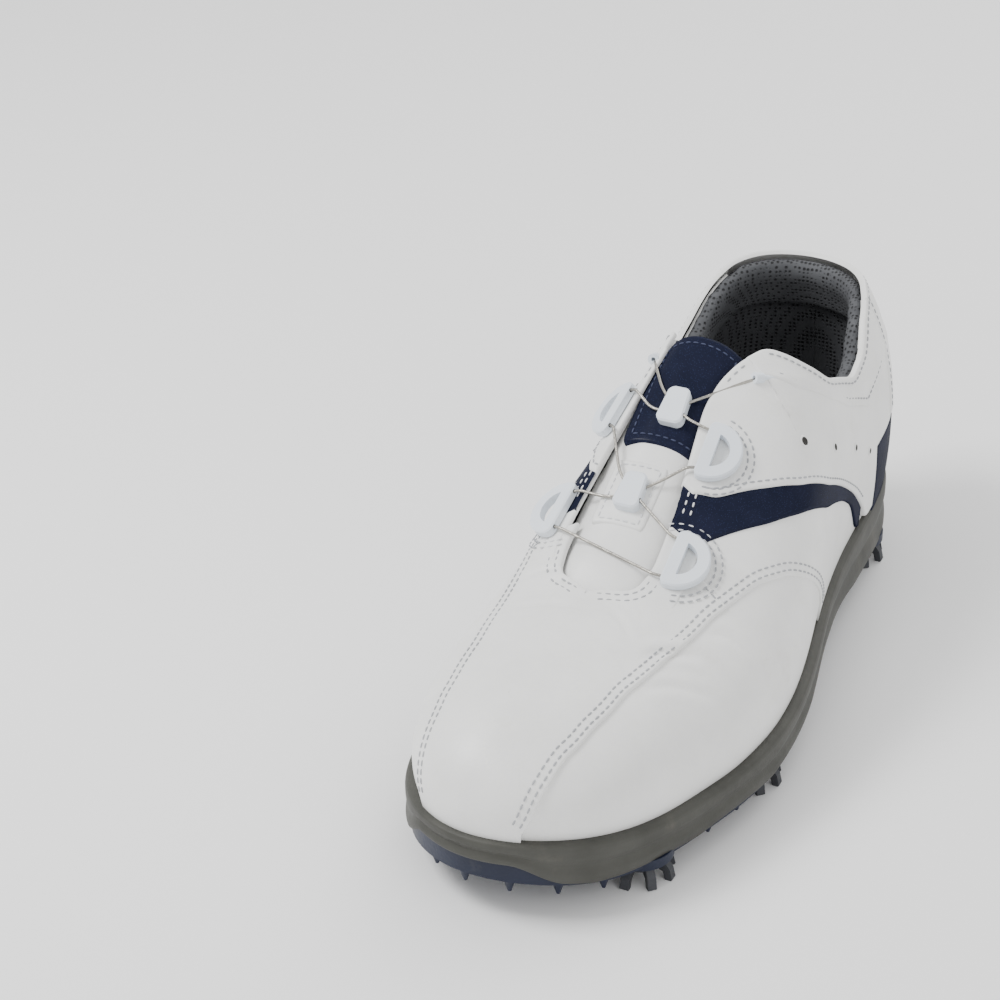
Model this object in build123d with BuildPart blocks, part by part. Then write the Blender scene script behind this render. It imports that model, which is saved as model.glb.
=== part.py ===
"""Left golf shoe: soft-spiked sole, layered leather upper, and a steel lace wound by a heel dial.

Frame: +Z up from the ground under the cleats, -Y the toe, +Y the heel, +X the outer (lateral) side.
All sizes are millimetres. The upper is laid out on ribs: a rib stands on the feather line, where
the upper meets the sole, and curves up to a spine line over the middle of the foot. A place on the
upper is (t, v, depth): t is the share of the way from the toe tip (0) to the heel (+1 by the lateral
side, -1 by the medial side), v climbs the rib from the feather line (0) to the spine (1), and depth
is the distance outside the upper's skin. Each layer of the upper keeps its own depth.
"""
from build123d import *
import math
import os

import numpy as np

os.makedirs("parts", exist_ok=True)

# ---- driving dimensions: the last ------------------------------------------------------------
LAST_SHIFT = (-5.0, -2.35)       # from the last's own centre to the middle of the shoe's footprint
FEATHER_LATERAL = [(-8, -144), (15, -139.5), (34, -121), (46, -92), (54.5, -58), (54, -20), (46, 20),
                   (40, 60), (37, 100), (27, 129), (0, 140)]
FEATHER_MEDIAL = [(-26, 129), (-34, 101), (-32, 62), (-30, 26), (-35, -10), (-43, -45), (-45.5, -77),
                  (-41, -107), (-29, -131)]
FEATHER_HEIGHT = [(-150, 29), (-110, 23), (-60, 22), (0, 25), (60, 29), (145, 33)]
SPINE_X = [(-150, -12), (-112, -7), (-80, -5), (-50, -5), (0, -6.5), (30, -5), (60, -1), (100, 0)]
SPINE_HEIGHT = [(-112, 57.5), (-80, 62), (-52, 67), (-30, 77), (0, 94), (30, 112), (60, 124), (96, 127)]
# share of the way round, spine y that the rib leans to, and its three fullness handles
RIBS = [(0.0, -112, 5, 20, 18), (0.1, -104, 6, 22, 22), (0.2, -84, 6, 28, 26), (0.35, -36, 6, 34, 26),
        (0.5, 16, 5, 48, 22), (0.65, 60, 3, 62, 18), (0.8, 86, 5, 62, 22), (0.9, 93, 8, 60, 26),
        (1.0, 96, 8, 58, 28)]
WAIST_BULGE = (9.0, 0.56, 0.16)  # extra fullness of the lateral waist: size, centre and spread in t

# ---- driving dimensions: the layers, as (inner depth, outer depth) ---------------------------
WING_LAYER = (1.5, 2.6)
OVERLAY_LAYER = (0.1, 1.2)
LEATHER_LAYER = (-1.5, -0.3)
STIFFENER_LAYER = (-2.6, -1.8)
LINING_LAYER = (-4.0, -2.9)
VAMP_LINING_LAYER = (-6.2, -5.2)
COLLAR_FOAM_LAYER = (-8.0, -1.9)
COLLAR_LINING_LAYER = (-9.3, -8.3)
TONGUE_LINING_LAYER = (-10.8, -9.9)
TONGUE_FOAM_LAYER = (-9.6, -5.2)
TONGUE_COVER_LAYER = (-4.75, -4.25)
TONGUE_CROWN = 4.2               # how much the tongue's middle swells up through the throat
CROWN_SPREAD = 9.0               # half width of that swell
TONGUE_TOP = 0.5                 # height of the tongue's cover over the spine line

# ---- driving dimensions: edges on the upper, as (t, v) ---------------------------------------
THROAT_LATERAL = [(0.30, 0.90), (0.315, 0.83), (0.345, 0.80), (0.40, 0.805), (0.45, 0.82), (0.50, 0.84),
                  (0.53, 0.825), (0.56, 0.79), (0.60, 0.725), (0.64, 0.58), (0.68, 0.46), (0.74, 0.385),
                  (0.78, 0.41), (0.82, 0.49), (0.87, 0.54), (0.93, 0.55), (1.0, 0.55)]
THROAT_MEDIAL = [(0.30, 0.90), (0.315, 0.80), (0.345, 0.76), (0.40, 0.76), (0.45, 0.765), (0.50, 0.77),
                 (0.53, 0.77), (0.56, 0.76), (0.60, 0.715), (0.64, 0.58), (0.68, 0.46), (0.74, 0.385),
                 (0.78, 0.41), (0.82, 0.49), (0.87, 0.54), (0.93, 0.55), (1.0, 0.55)]
SIDE_SEAM = [(0.07, 0.26), (0.085, 0.37), (0.106, 0.476), (0.15, 0.554), (0.21, 0.59), (0.28, 0.57),
             (0.35, 0.525), (0.42, 0.43), (0.465, 0.335), (0.50, 0.24), (0.53, 0.155), (0.555, 0.09)]
STRIPE_LOW = [(0.385, 0.70), (0.40, 0.66), (0.424, 0.60), (0.471, 0.484), (0.521, 0.381), (0.60, 0.238),
              (0.674, 0.145), (0.707, 0.095), (0.73, 0.05)]
WING_LOW = [(0.425, 0.79), (0.434, 0.704), (0.444, 0.669), (0.468, 0.604), (0.497, 0.524), (0.542, 0.414),
            (0.612, 0.276), (0.66, 0.20), (0.711, 0.118), (0.745, 0.05), (0.78, 0.03), (0.85, 0.03)]
COLLAR_SEAM = [(0.57, 0.705), (0.61, 0.56), (0.67, 0.42), (0.71, 0.345), (0.765, 0.28), (0.815, 0.31),
               (0.86, 0.40), (1.0, 0.44)]
FOOT_EDGE = 0.03                 # how far up the ribs the upper's lower edges lie
HINGE_Z = 22.0                   # height of the line that the cross sections tilt about, toward the toe
# cross sections over the vamp, toe to throat: y, tilt from level in degrees, and medial and lateral x
VAMP_HOOPS = [(-106, 13, -27, 7), (-106, 30, -32, 10), (-106, 48, -33, 13), (-106, 68, -33, 17),
              (-104, 90, -33, 21), (-82, 90, -33, 26), (-56, 90, -40, 31)]
TOE_PUFF_HOOPS = [(-106, 13, -27, 12), (-106, 30, -32, 18), (-106, 48, -34, 21), (-106, 68, -34, 23),
                  (-104, 90, -34, 25)]
VAMP_LINING_HOOPS = [(-106, 20, -26, 12), (-106, 30, -32, 18), (-106, 48, -34, 21), (-106, 68, -34, 23),
                     (-104, 90, -34, 25), (-84, 90, -34, 27), (-68, 90, -36, 28)]
TONGUE_HOOPS = [(-66, 90, -24, 4), (-50, 90, -27, 8), (-30, 90, -28, 11), (-8, 90, -27, 13), (12, 90, -24, 14),
                (28, 90, -22, 13), (34, 90, -20, 10)]

# ---- driving dimensions: the sole ------------------------------------------------------------
GLUE = 0.15                      # cement between stacked sole layers
OUTSOLE_BOTTOM = [(-152, 15), (-130, 10), (-105, 8.3), (-60, 8), (-25, 9.5), (20, 13), (50, 10.5), (75, 8.3),
                  (120, 8.2), (138, 10.5), (150, 14)]
OUTSOLE_TOP = [(-152, 21), (-130, 18), (-112, 14), (-95, 12), (-60, 11.5), (-25, 12.5), (20, 16), (50, 14),
               (80, 12.2), (120, 12.4), (150, 16)]
OUTSOLE_FLARE = 2.0              # beyond the feather line
MIDSOLE_FLARE = 3.5
BOARD_INSET = 4.6
BOARD_THICKNESS = 1.5
INSOLE_THICKNESS = 4.5
SHANK_LENGTH, SHANK_WIDTH, SHANK_THICKNESS, SHANK_Y = 84, 26, 2.0, 18

# ---- driving dimensions: the cleats ----------------------------------------------------------
CLEATS = [(29, -108), (-30, -99), (41, -47), (-33, -50), (-4, -112), (24, 104), (-21, 104)]
PAD_Z = 7.5                      # the outsole's flat pads that the cleats seat on
PAD_RADIUS = 11.0
CLEAT_RADIUS = 8.0
CLEAT_REACH = 11.8               # from the axis to the end of a leg
CLEAT_LEGS = 8
STEM_RADIUS, STEM_LENGTH = 4.5, 4.6
RECEPTACLE_RADIUS, RECEPTACLE_LENGTH = 6.5, 5.2
RUNNING_GAP = 0.08
NUB_HEIGHT, NUB_RADIUS, NUB_TIP = 6.0, 2.5, 0.6
NUB_ROOT = 1.2                   # how far a nub is rooted in the outsole
NUB_INSET = 1.6                  # inside the feather line
NUB_GAP = 3.0                    # clear of the turning cleats

# ---- driving dimensions: lace, guides and dial -----------------------------------------------
LACE_RADIUS = 0.5
CHANNEL_RADIUS = 0.75
TUBE_RADIUS = 1.15
TUBE_DEPTH = 1.2
EXIT_T, EXIT_V = 0.563, 0.70
D_LENGTH, D_HEIGHT, D_THICKNESS, D_BAR = 21.0, 13.5, 2.8, 3.4
D_RIM = 4.3                      # the width of the ring round a D guide's window
D_MOUTH = 4.0                    # from the lace's bar to where the lace leaves, toward the throat
TONGUE_GUIDE_SIZE = (9.6, 14.0, 3.8)
DIAL_V = 0.34                    # how far up the heel's rib the dial's axis is
DIAL_RADIUS = 14.0
HOUSING_RADIUS, HOUSING_BORE = 13.0, 9.6
SPOOL_RADIUS, DRUM_RADIUS = 9.2, 6.2
POST_RADIUS = 2.0
KNOB_RADIUS = 12.4
KNOB_RIBS = 24
LACE_AT = 5.4                    # how far out along the dial's axis the lace enters


# ---- the last's surface ----------------------------------------------------------------------
def spline_through(places, values, wanted, closed=False):
    """Cubic spline through values at the given places, natural or closed, read at wanted."""
    xs = np.asarray(places, float)
    ys = np.asarray(values, float).reshape(len(xs), -1)
    gaps = np.diff(xs)
    rows = np.zeros((len(xs), len(xs)))
    right = np.zeros(ys.shape)
    for i in range(1, len(xs) - 1):
        rows[i, i - 1:i + 2] = gaps[i - 1], 2 * (gaps[i - 1] + gaps[i]), gaps[i]
        right[i] = 6 * ((ys[i + 1] - ys[i]) / gaps[i] - (ys[i] - ys[i - 1]) / gaps[i - 1])
    if closed:
        rows[0, 0], rows[0, -1] = 1, -1
        rows[-1, 0], rows[-1, 1], rows[-1, -2], rows[-1, -1] = 2 * gaps[0], gaps[0], gaps[-1], 2 * gaps[-1]
        right[-1] = 6 * ((ys[1] - ys[0]) / gaps[0] - (ys[-1] - ys[-2]) / gaps[-1])
    else:
        rows[0, 0] = rows[-1, -1] = 1
    bends = np.linalg.solve(rows, right)
    at = np.atleast_1d(np.asarray(wanted, float))
    i = np.clip(np.searchsorted(xs, at) - 1, 0, len(xs) - 2)
    b = (at - xs[i])[:, None] / gaps[i][:, None]
    a = 1 - b
    h = gaps[i][:, None]
    return a * ys[i] + b * ys[i + 1] + ((a**3 - a) * bends[i] + (b**3 - b) * bends[i + 1]) * h**2 / 6


def read(table, at):
    """One number from a two-column table, by cubic spline."""
    xs, ys = zip(*table)
    return spline_through(xs, ys, at)[:, 0]


PLAN = np.array(FEATHER_LATERAL + FEATHER_MEDIAL + FEATHER_LATERAL[:1], float)
PLAN_AT = np.concatenate([[0], np.cumsum(np.linalg.norm(np.diff(PLAN, axis=0), axis=1))])
FINE_AT = np.linspace(0, PLAN_AT[-1], 3001)
FINE = spline_through(PLAN_AT, PLAN, FINE_AT, closed=True)
WALKED = np.concatenate([[0], np.cumsum(np.linalg.norm(np.diff(FINE, axis=0), axis=1))])
HEEL_WALK = WALKED[np.argmin(np.abs(FINE_AT - PLAN_AT[len(FEATHER_LATERAL) - 1]))]


def plan(t):
    """The feather line in plan, at shares t of the way round."""
    walk = np.where(t >= 0, t * HEEL_WALK, WALKED[-1] + t * (WALKED[-1] - HEEL_WALK))
    return np.column_stack([np.interp(walk, WALKED, FINE[:, 0]), np.interp(walk, WALKED, FINE[:, 1])])


RIB_TABLE = np.array([(-t, *rest) for t, *rest in RIBS[:0:-1]] + RIBS, float)


def rib(t, depth=0.0):
    """Foot, inward direction and the four in-plane Bezier points of the ribs at t."""
    t = np.atleast_1d(np.asarray(t, float))
    flat = plan(t)
    foot = np.column_stack([flat, read(FEATHER_HEIGHT, flat[:, 1])])
    lean, out, up, over = spline_through(RIB_TABLE[:, 0], RIB_TABLE[:, 1:], t).T
    bulge, centre, spread = WAIST_BULGE
    out = out + np.where(t > 0, bulge * np.exp(-((t - centre) / spread)**2), 0)
    top = np.column_stack([read(SPINE_X, lean), lean, read(SPINE_HEIGHT, lean)])
    run = np.hypot(top[:, 0] - foot[:, 0], top[:, 1] - foot[:, 1])
    inward = (top[:, :2] - foot[:, :2]) / run[:, None]
    slope = inward[:, 1] * (read(SPINE_HEIGHT, lean + 0.5) - read(SPINE_HEIGHT, lean - 0.5))
    rise = top[:, 2] - foot[:, 2]
    handles = [(-depth + 0 * run, 0 * run), (-out - depth, up + 0.3 * depth),
               (run - over - 0.3 * depth, rise - over * slope + depth), (run, rise + depth)]
    return foot + [*LAST_SHIFT, 0], inward, handles


def along(handles, v):
    """Bezier points (in, up) at v."""
    weights = ((1 - v)**3, 3 * (1 - v)**2 * v, 3 * (1 - v) * v * v, v**3)
    return (sum(w * p[0] for w, p in zip(weights, handles)), sum(w * p[1] for w, p in zip(weights, handles)))


def skin(t, v, depth=0.0):
    """Points of the upper's surface."""
    foot, inward, handles = rib(t, depth)
    step, climb = along(handles, v)
    return foot + np.column_stack([inward * step[:, None], climb])


def place(t, v, depth=0.0):
    """One point of the upper's surface, as a Vector."""
    return Vector(*skin(t, v, depth)[0])


def skin_plane(t, v, depth):
    """The plane lying on the upper at (t, v): x along the shoe, z outwards."""
    if t > 0:
        ahead = place(t + 0.01, v, depth) - place(t - 0.01, v, depth)
    else:
        ahead = place(t - 0.01, v, depth) - place(t + 0.01, v, depth)
    climb = place(t, v + 0.01, depth) - place(t, v - 0.01, depth)
    out = ahead.cross(climb)
    inward = rib(t)[1][0]
    if out.dot(Vector(-inward[0], -inward[1], 0.5)) < 0:
        out = out * -1
    return Plane(origin=place(t, v, depth), x_dir=ahead, z_dir=out)


# ---- section makers --------------------------------------------------------------------------
def rib_sections(edges, layer):
    """Closed sections of one layer, on the ribs at each (t, low v, high v)."""
    sections = []
    for t, low, high in edges:
        foot, inward, _ = rib(t)
        ix, iy = inward[0]
        share = np.linspace(low, high, 7)
        inner_in, inner_up = along(rib(t, layer[0])[2], share)
        outer_in, outer_up = along(rib(t, layer[1])[2], share)
        inner = list(zip(inner_in, inner_up))
        outer = list(zip(outer_in, outer_up))
        with BuildSketch(Plane(origin=tuple(foot[0]), x_dir=(ix, iy, 0), z_dir=(iy, -ix, 0))) as section:
            with BuildLine():
                Spline(*inner)
                Line(inner[-1], outer[-1])
                Spline(*outer[::-1])
                Line(outer[0], inner[0])
            make_face()
        sections.append(section.sketch)
    return sections


def edge(table, t):
    """How far up the rib an edge table lies at t."""
    xs, ys = zip(*table)
    return float(np.interp(abs(t), xs, ys))


def throat(t):
    """How far up the rib the upper reaches at t."""
    return edge(THROAT_LATERAL if t > 0 else THROAT_MEDIAL, t)


def hoop(y, tilt, depth):
    """The upper cut by a plane across the shoe at y, tilted forward about HINGE: x and run."""
    ts = np.linspace(-0.66, 0.66, 265)
    vs = np.linspace(0.02, 1, 180)
    grid = skin(np.repeat(ts, len(vs)), np.tile(vs, len(ts)), depth).reshape(len(ts), len(vs), 3)
    s, c = math.sin(math.radians(tilt)), math.cos(math.radians(tilt))
    ahead, rise = y - grid[:, :, 1], grid[:, :, 2] - HINGE_Z
    off = rise * c - ahead * s
    run = ahead * c + rise * s
    found = []
    for i in range(len(ts)):
        signs = np.nonzero((off[i, :-1] * off[i, 1:] <= 0) & (run[i, 1:] > 0))[0]
        if len(signs):
            j = signs[-1]
            k = off[i, j] / (off[i, j] - off[i, j + 1])
            before = (grid[i, j, 0], run[i, j])
            after = (grid[i, j + 1, 0], run[i, j + 1])
            found.append(tuple((1 - k) * a + k * b for a, b in zip(before, after)))
    found = np.array(sorted(found))
    return found[:, 0], found[:, 1]


def hoop_sections(hoops, layer, crown=(0, 0)):
    """Sections across the shoe: each (y, tilt, from x, to x). The crown lifts each face's middle,
    from nothing under the vamp to its full height in the throat."""
    sections = []
    for y, tilt, left, right in hoops:
        s, c = math.sin(math.radians(tilt)), math.cos(math.radians(tilt))
        xs = np.linspace(left, right, 9)
        middle = read(SPINE_X, y - LAST_SHIFT[1])[0] + LAST_SHIFT[0]
        swell = min(max((y + 64) / 14, 0), 1)
        curves = []
        for depth, lift in zip(layer, crown):
            at_x, run = hoop(y, tilt, depth)
            raised = lift * swell * np.exp(-((xs - middle) / CROWN_SPREAD)**4)
            curves.append(list(zip(xs, np.interp(xs, at_x, run) + raised)))
        inner, outer = curves
        frame = Plane(origin=(0, y, HINGE_Z), x_dir=(1, 0, 0), z_dir=(0, -s, -c))
        with BuildSketch(frame) as section:
            with BuildLine():
                Spline(*inner)
                Line(inner[-1], outer[-1])
                Spline(*outer[::-1])
                Line(outer[0], inner[0])
            make_face()
        sections.append(section.sketch)
    return sections


def footprint(offset):
    """The feather line in plan, let out by offset, as a closed sketch on the ground."""
    ts = np.linspace(-1, 1, 41)[:-1]
    here, ahead = plan(ts), plan(ts + 0.004)
    way = ahead - here
    way = way / np.linalg.norm(way, axis=1)[:, None]
    points = here + offset * np.column_stack([way[:, 1], -way[:, 0]]) + LAST_SHIFT
    with BuildSketch() as sketch:
        with BuildLine():
            Spline(*map(tuple, points), periodic=True)
        make_face()
    return sketch.sketch


def profile(bottom, top, lift_bottom=0.0, lift_top=0.0):
    """A side profile between two height tables, as a sketch seen from +X."""
    ys = np.linspace(-152, 150, 25)
    low = list(zip(ys, read(bottom, ys) + lift_bottom))
    high = list(zip(ys, read(top, ys) + lift_top))
    with BuildSketch(Plane.YZ) as sketch:
        with BuildLine():
            Spline(*low)
            Line(low[-1], high[-1])
            Spline(*high[::-1])
            Line(high[0], low[0])
        make_face()
    return sketch.sketch


# ---- the sole --------------------------------------------------------------------------------
def near_cleat(x, y, gap):
    """Whether a place on the sole is within gap of a turning cleat."""
    return any(math.hypot(x - cx, y - cy) < CLEAT_REACH + gap for cx, cy in CLEATS)


def nub_places():
    """Pointed nubs along the outsole's edge, as (x, y, root height), clear of the waist and cleats."""
    places = []
    for t in np.linspace(-1, 1, 45)[:-1]:
        before, here, after = plan(np.array([t - 0.003, t, t + 0.003]))
        way = (after - before) / np.linalg.norm(after - before)
        x, y = here - NUB_INSET * np.array([way[1], -way[0]]) + LAST_SHIFT
        if not near_cleat(x, y, NUB_GAP) and not -16 < y < 66:
            places.append((x, y, read(OUTSOLE_BOTTOM, y)[0] + NUB_ROOT))
    return places


RECEPTACLE_TOP = PAD_Z + 0.2 + RECEPTACLE_LENGTH

with BuildPart() as nubs:
    for nub_place in nub_places():
        with Locations(nub_place):
            Cone(NUB_RADIUS, NUB_TIP, NUB_HEIGHT, rotation=(180, 0, 0),
                 align=(Align.CENTER, Align.CENTER, Align.MIN))

with BuildPart() as outsole:
    add(footprint(OUTSOLE_FLARE))
    extrude(amount=40)
    extrude(to_extrude=profile(OUTSOLE_BOTTOM, OUTSOLE_TOP), amount=80, both=True, mode=Mode.INTERSECT)
    with BuildSketch(Plane.XY.offset(PAD_Z)):
        with Locations(*CLEATS):
            Circle(PAD_RADIUS)
    extrude(amount=3.5)
    with BuildSketch(Plane.XY.offset(PAD_Z - 1)):
        with Locations(*CLEATS):
            Circle(RECEPTACLE_RADIUS + 0.1)
    extrude(amount=RECEPTACLE_TOP - PAD_Z + 1.15, mode=Mode.SUBTRACT)
    add(nubs.part)

with BuildPart() as shank_plate:
    with BuildSketch(Plane((LAST_SHIFT[0] + 4, SHANK_Y, 0))):
        RectangleRounded(SHANK_WIDTH, SHANK_LENGTH, 9)
    extrude(amount=40)
    extrude(to_extrude=profile(OUTSOLE_TOP, OUTSOLE_TOP, GLUE, GLUE + SHANK_THICKNESS), amount=80, both=True,
            mode=Mode.INTERSECT)

with BuildPart() as midsole:
    add(footprint(MIDSOLE_FLARE))
    extrude(amount=50)
    extrude(to_extrude=profile(OUTSOLE_TOP, FEATHER_HEIGHT, GLUE, -GLUE), amount=80, both=True,
            mode=Mode.INTERSECT)
    with BuildSketch(Plane((LAST_SHIFT[0] + 4, SHANK_Y, 0))):
        RectangleRounded(SHANK_WIDTH + 2 * GLUE, SHANK_LENGTH + 2 * GLUE, 9)
    extrude(amount=read(OUTSOLE_TOP, SHANK_Y)[0] + SHANK_THICKNESS + 4 * GLUE, mode=Mode.SUBTRACT)
    with BuildSketch():
        with Locations(*CLEATS):
            Circle(RECEPTACLE_RADIUS + 0.1)
    extrude(amount=RECEPTACLE_TOP + 0.15, mode=Mode.SUBTRACT)

with BuildPart() as lasting_board:
    add(footprint(-BOARD_INSET))
    extrude(amount=60)
    extrude(to_extrude=profile(FEATHER_HEIGHT, FEATHER_HEIGHT, GLUE, BOARD_THICKNESS), amount=80, both=True,
            mode=Mode.INTERSECT)

with BuildPart() as insole:
    add(footprint(-BOARD_INSET - 0.6))
    extrude(amount=60)
    insole_bottom = BOARD_THICKNESS + GLUE
    extrude(to_extrude=profile(FEATHER_HEIGHT, FEATHER_HEIGHT, insole_bottom, insole_bottom + INSOLE_THICKNESS),
            amount=80, both=True, mode=Mode.INTERSECT)

# ---- cleats and their receptacles ------------------------------------------------------------
with BuildPart() as cleat_receptacles:
    with BuildSketch(Plane.XY.offset(PAD_Z + 0.2)):
        with Locations(*CLEATS):
            Circle(RECEPTACLE_RADIUS)
    extrude(amount=RECEPTACLE_LENGTH)
    with BuildSketch(Plane.XY.offset(PAD_Z)):
        with Locations(*CLEATS):
            Circle(STEM_RADIUS + RUNNING_GAP)
    extrude(amount=RECEPTACLE_LENGTH - 0.4, mode=Mode.SUBTRACT)

LEG_PROFILE = [(5.0, 6.6), (9.4, 6.3), (11.0, 4.0), (CLEAT_REACH, 0.5), (CLEAT_REACH - 0.4, 0),
               (CLEAT_REACH - 2.3, 0), (8.6, 3.0), (5.4, 4.4)]

with BuildPart() as cleat_leg:
    with BuildSketch(Plane.XZ):
        with BuildLine():
            Polyline(*LEG_PROFILE, close=True)
        make_face()
    extrude(amount=1.4, both=True)

with BuildPart() as cleat:
    with BuildSketch(Plane.XY.offset(4.4)):
        Circle(CLEAT_RADIUS)
    extrude(amount=PAD_Z - 0.3 - 4.4)
    fillet(cleat.faces().sort_by(Axis.Z)[0].edges(), 1.0)
    with BuildSketch(Plane.XY.offset(PAD_Z - 0.3)):
        Circle(STEM_RADIUS)
    extrude(amount=STEM_LENGTH)
    with PolarLocations(0, CLEAT_LEGS):
        add(cleat_leg.part)
    with BuildSketch(Plane.XY.offset(4.4)):
        with PolarLocations(4.6, 2, start_angle=22.5):
            Circle(0.9)
    extrude(amount=1.6, mode=Mode.SUBTRACT)

CLEAT_NAMES = ["cleat_lateral_front", "cleat_medial_front", "cleat_lateral_ball", "cleat_medial_ball",
               "cleat_toe", "cleat_lateral_heel", "cleat_medial_heel"]
PIECES = {}
for cleat_name, cleat_spot in zip(CLEAT_NAMES, CLEATS):
    with BuildPart() as placed_cleat:
        with Locations(cleat_spot):
            add(cleat.part)
    PIECES[cleat_name] = placed_cleat

# ---- the upper -------------------------------------------------------------------------------
STEP = 0.03                      # between ribs, as a share of the way round


def stations(first, last, also=()):
    """Ribs from first to last on the common spacing, so that stacked layers stay apart."""
    between = [i * STEP for i in range(1, 33) if first + 0.3 * STEP < i * STEP < last - 0.3 * STEP]
    kept = [t for t in between if all(abs(t - other) > 0.3 * STEP for other in also)]
    return sorted({first, last, *kept, *also})


def round_heel(first):
    """Ribs from first round the back of the heel to the same place on the other side."""
    lateral = stations(first, 0.99)[:-1]
    return lateral + [1.0] + [-t for t in reversed(lateral)]


SIDE_STATIONS = stations(0.07, 0.555, (0.085, 0.106))
QUARTER_STATIONS = stations(0.375, 0.985)
EYESTAY_STATIONS = stations(0.318, 0.383)
STRIPE_STATIONS = stations(0.388, 0.73)
WING_STATIONS = stations(0.427, 0.84, (0.435, 0.445))
BAND_STATIONS = stations(0.575, 0.84)
HEEL_STATIONS = round_heel(0.845)
PATCH_STATIONS = round_heel(0.79)
COLLAR_STATIONS = round_heel(0.615)
LINING_STATIONS = stations(0.375, 0.80)
HEEL_LINING_STATIONS = round_heel(0.81)
TOE_LINING_STATIONS = stations(0.004, 0.36)


def collar_low(t):
    """Lower edge of the collar's padding."""
    return throat(t) - 0.19


def lining_top(t):
    """Upper edge of the quarter lining: near the throat edge in front, under the collar's padding behind."""
    return throat(t) - float(np.interp(abs(t), [0.54, 0.60], [0.03, 0.215]))


def stripe_top(t):
    """Upper edge of the saddle stripe: the throat edge in front, then a lap under the wing."""
    lap = edge(WING_LOW, t) + 0.05
    return throat(t) - 0.01 if abs(t) < 0.43 else min(throat(t) - 0.01, lap)


def wing_top(t):
    """Upper edge of the wing: the throat edge, then the seam under the collar band."""
    return throat(t) if abs(t) < 0.57 else edge(COLLAR_SEAM, t) - 0.015


def layer_between(ribs, low, high, layer):
    """Sections of one layer on the ribs, between two edges that are functions of t."""
    return rib_sections([(t, low(t), high(t)) for t in ribs], layer)


for side, side_name in ((1, "lateral"), (-1, "medial")):
    def mirrored(lateral):
        """The same ribs on this side."""
        return [side * t for t in lateral]

    with BuildPart() as toe_side_panel:
        loft(sections=layer_between(mirrored(SIDE_STATIONS), lambda t: FOOT_EDGE, lambda t: edge(SIDE_SEAM, t),
                                    OVERLAY_LAYER))
    PIECES["toe_side_panel_" + side_name] = toe_side_panel

    with BuildPart() as quarter_panel:
        loft(sections=layer_between(mirrored(QUARTER_STATIONS), lambda t: FOOT_EDGE, lambda t: throat(t) - 0.015,
                                    LEATHER_LAYER))
    PIECES["quarter_panel_" + side_name] = quarter_panel

    with BuildPart() as eyestay:
        loft(sections=layer_between(mirrored(EYESTAY_STATIONS), lambda t: 0.62,
                                    lambda t: throat(t) - 0.01, OVERLAY_LAYER))
    PIECES["eyestay_" + side_name] = eyestay

    with BuildPart() as stripe:
        loft(sections=layer_between(mirrored(STRIPE_STATIONS), lambda t: edge(STRIPE_LOW, t), stripe_top,
                                    OVERLAY_LAYER))
    PIECES["saddle_stripe_" + side_name] = stripe

    with BuildPart() as wing:
        loft(sections=layer_between(mirrored(WING_STATIONS), lambda t: edge(WING_LOW, t), wing_top, WING_LAYER))
    PIECES["wing_" + side_name] = wing

    with BuildPart() as collar_band:
        loft(sections=layer_between(mirrored(BAND_STATIONS), lambda t: edge(COLLAR_SEAM, t),
                                    lambda t: throat(t) - 0.01, OVERLAY_LAYER))
    PIECES["collar_band_" + side_name] = collar_band

    with BuildPart() as quarter_lining:
        loft(sections=layer_between(mirrored(LINING_STATIONS), lambda t: FOOT_EDGE, lining_top, LINING_LAYER))
    PIECES["quarter_lining_" + side_name] = quarter_lining

    with BuildPart() as toe_lining:
        loft(sections=layer_between(mirrored(TOE_LINING_STATIONS), lambda t: FOOT_EDGE,
                                    lambda t: 0.40 + 0.35 * abs(t), LINING_LAYER))
    PIECES["toe_lining_" + side_name] = toe_lining

with BuildPart() as heel_panel:
    loft(sections=layer_between(HEEL_STATIONS, lambda t: 0.165, lambda t: throat(t) - 0.01, OVERLAY_LAYER))

with BuildPart() as heel_patch:
    loft(sections=layer_between(PATCH_STATIONS, lambda t: FOOT_EDGE, lambda t: 0.15, OVERLAY_LAYER))

with BuildPart() as heel_counter:
    loft(sections=layer_between(HEEL_LINING_STATIONS, lambda t: FOOT_EDGE + 0.01, lambda t: 0.27,
                                STIFFENER_LAYER))

with BuildPart() as heel_lining:
    loft(sections=layer_between(HEEL_LINING_STATIONS, lambda t: FOOT_EDGE, lambda t: throat(t) - 0.215,
                                LINING_LAYER))

with BuildPart() as collar_padding:
    loft(sections=layer_between(COLLAR_STATIONS, collar_low, lambda t: throat(t) - 0.015, COLLAR_FOAM_LAYER))

with BuildPart() as collar_lining:
    loft(sections=layer_between(COLLAR_STATIONS, lambda t: collar_low(t) - 0.03, lambda t: throat(t) - 0.02,
                                COLLAR_LINING_LAYER))

with BuildPart() as vamp_panel:
    loft(sections=hoop_sections(VAMP_HOOPS, LEATHER_LAYER))

with BuildPart() as toe_puff:
    loft(sections=hoop_sections(TOE_PUFF_HOOPS, STIFFENER_LAYER))

with BuildPart() as vamp_lining:
    loft(sections=hoop_sections(VAMP_LINING_HOOPS, VAMP_LINING_LAYER))

# ---- the tongue ------------------------------------------------------------------------------
with BuildPart() as tongue_lining:
    loft(sections=hoop_sections(TONGUE_HOOPS, TONGUE_LINING_LAYER))

with BuildPart() as tongue_padding:
    loft(sections=hoop_sections(TONGUE_HOOPS, TONGUE_FOAM_LAYER, crown=(0, TONGUE_CROWN)))

TOP_PANEL_HOOPS = [(-6, 90, -22, 3), (6, 90, -22, 5), (20, 90, -21, 8), (33, 90, -19, 8)]
TAB_HOOPS = [(-33, 90, -19, -3), (-24, 90, -21, -1), (-14, 90, -20, -3)]

with BuildPart() as tongue_top_panel:
    loft(sections=hoop_sections(TOP_PANEL_HOOPS, TONGUE_COVER_LAYER, crown=(TONGUE_CROWN, TONGUE_CROWN)))

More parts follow.
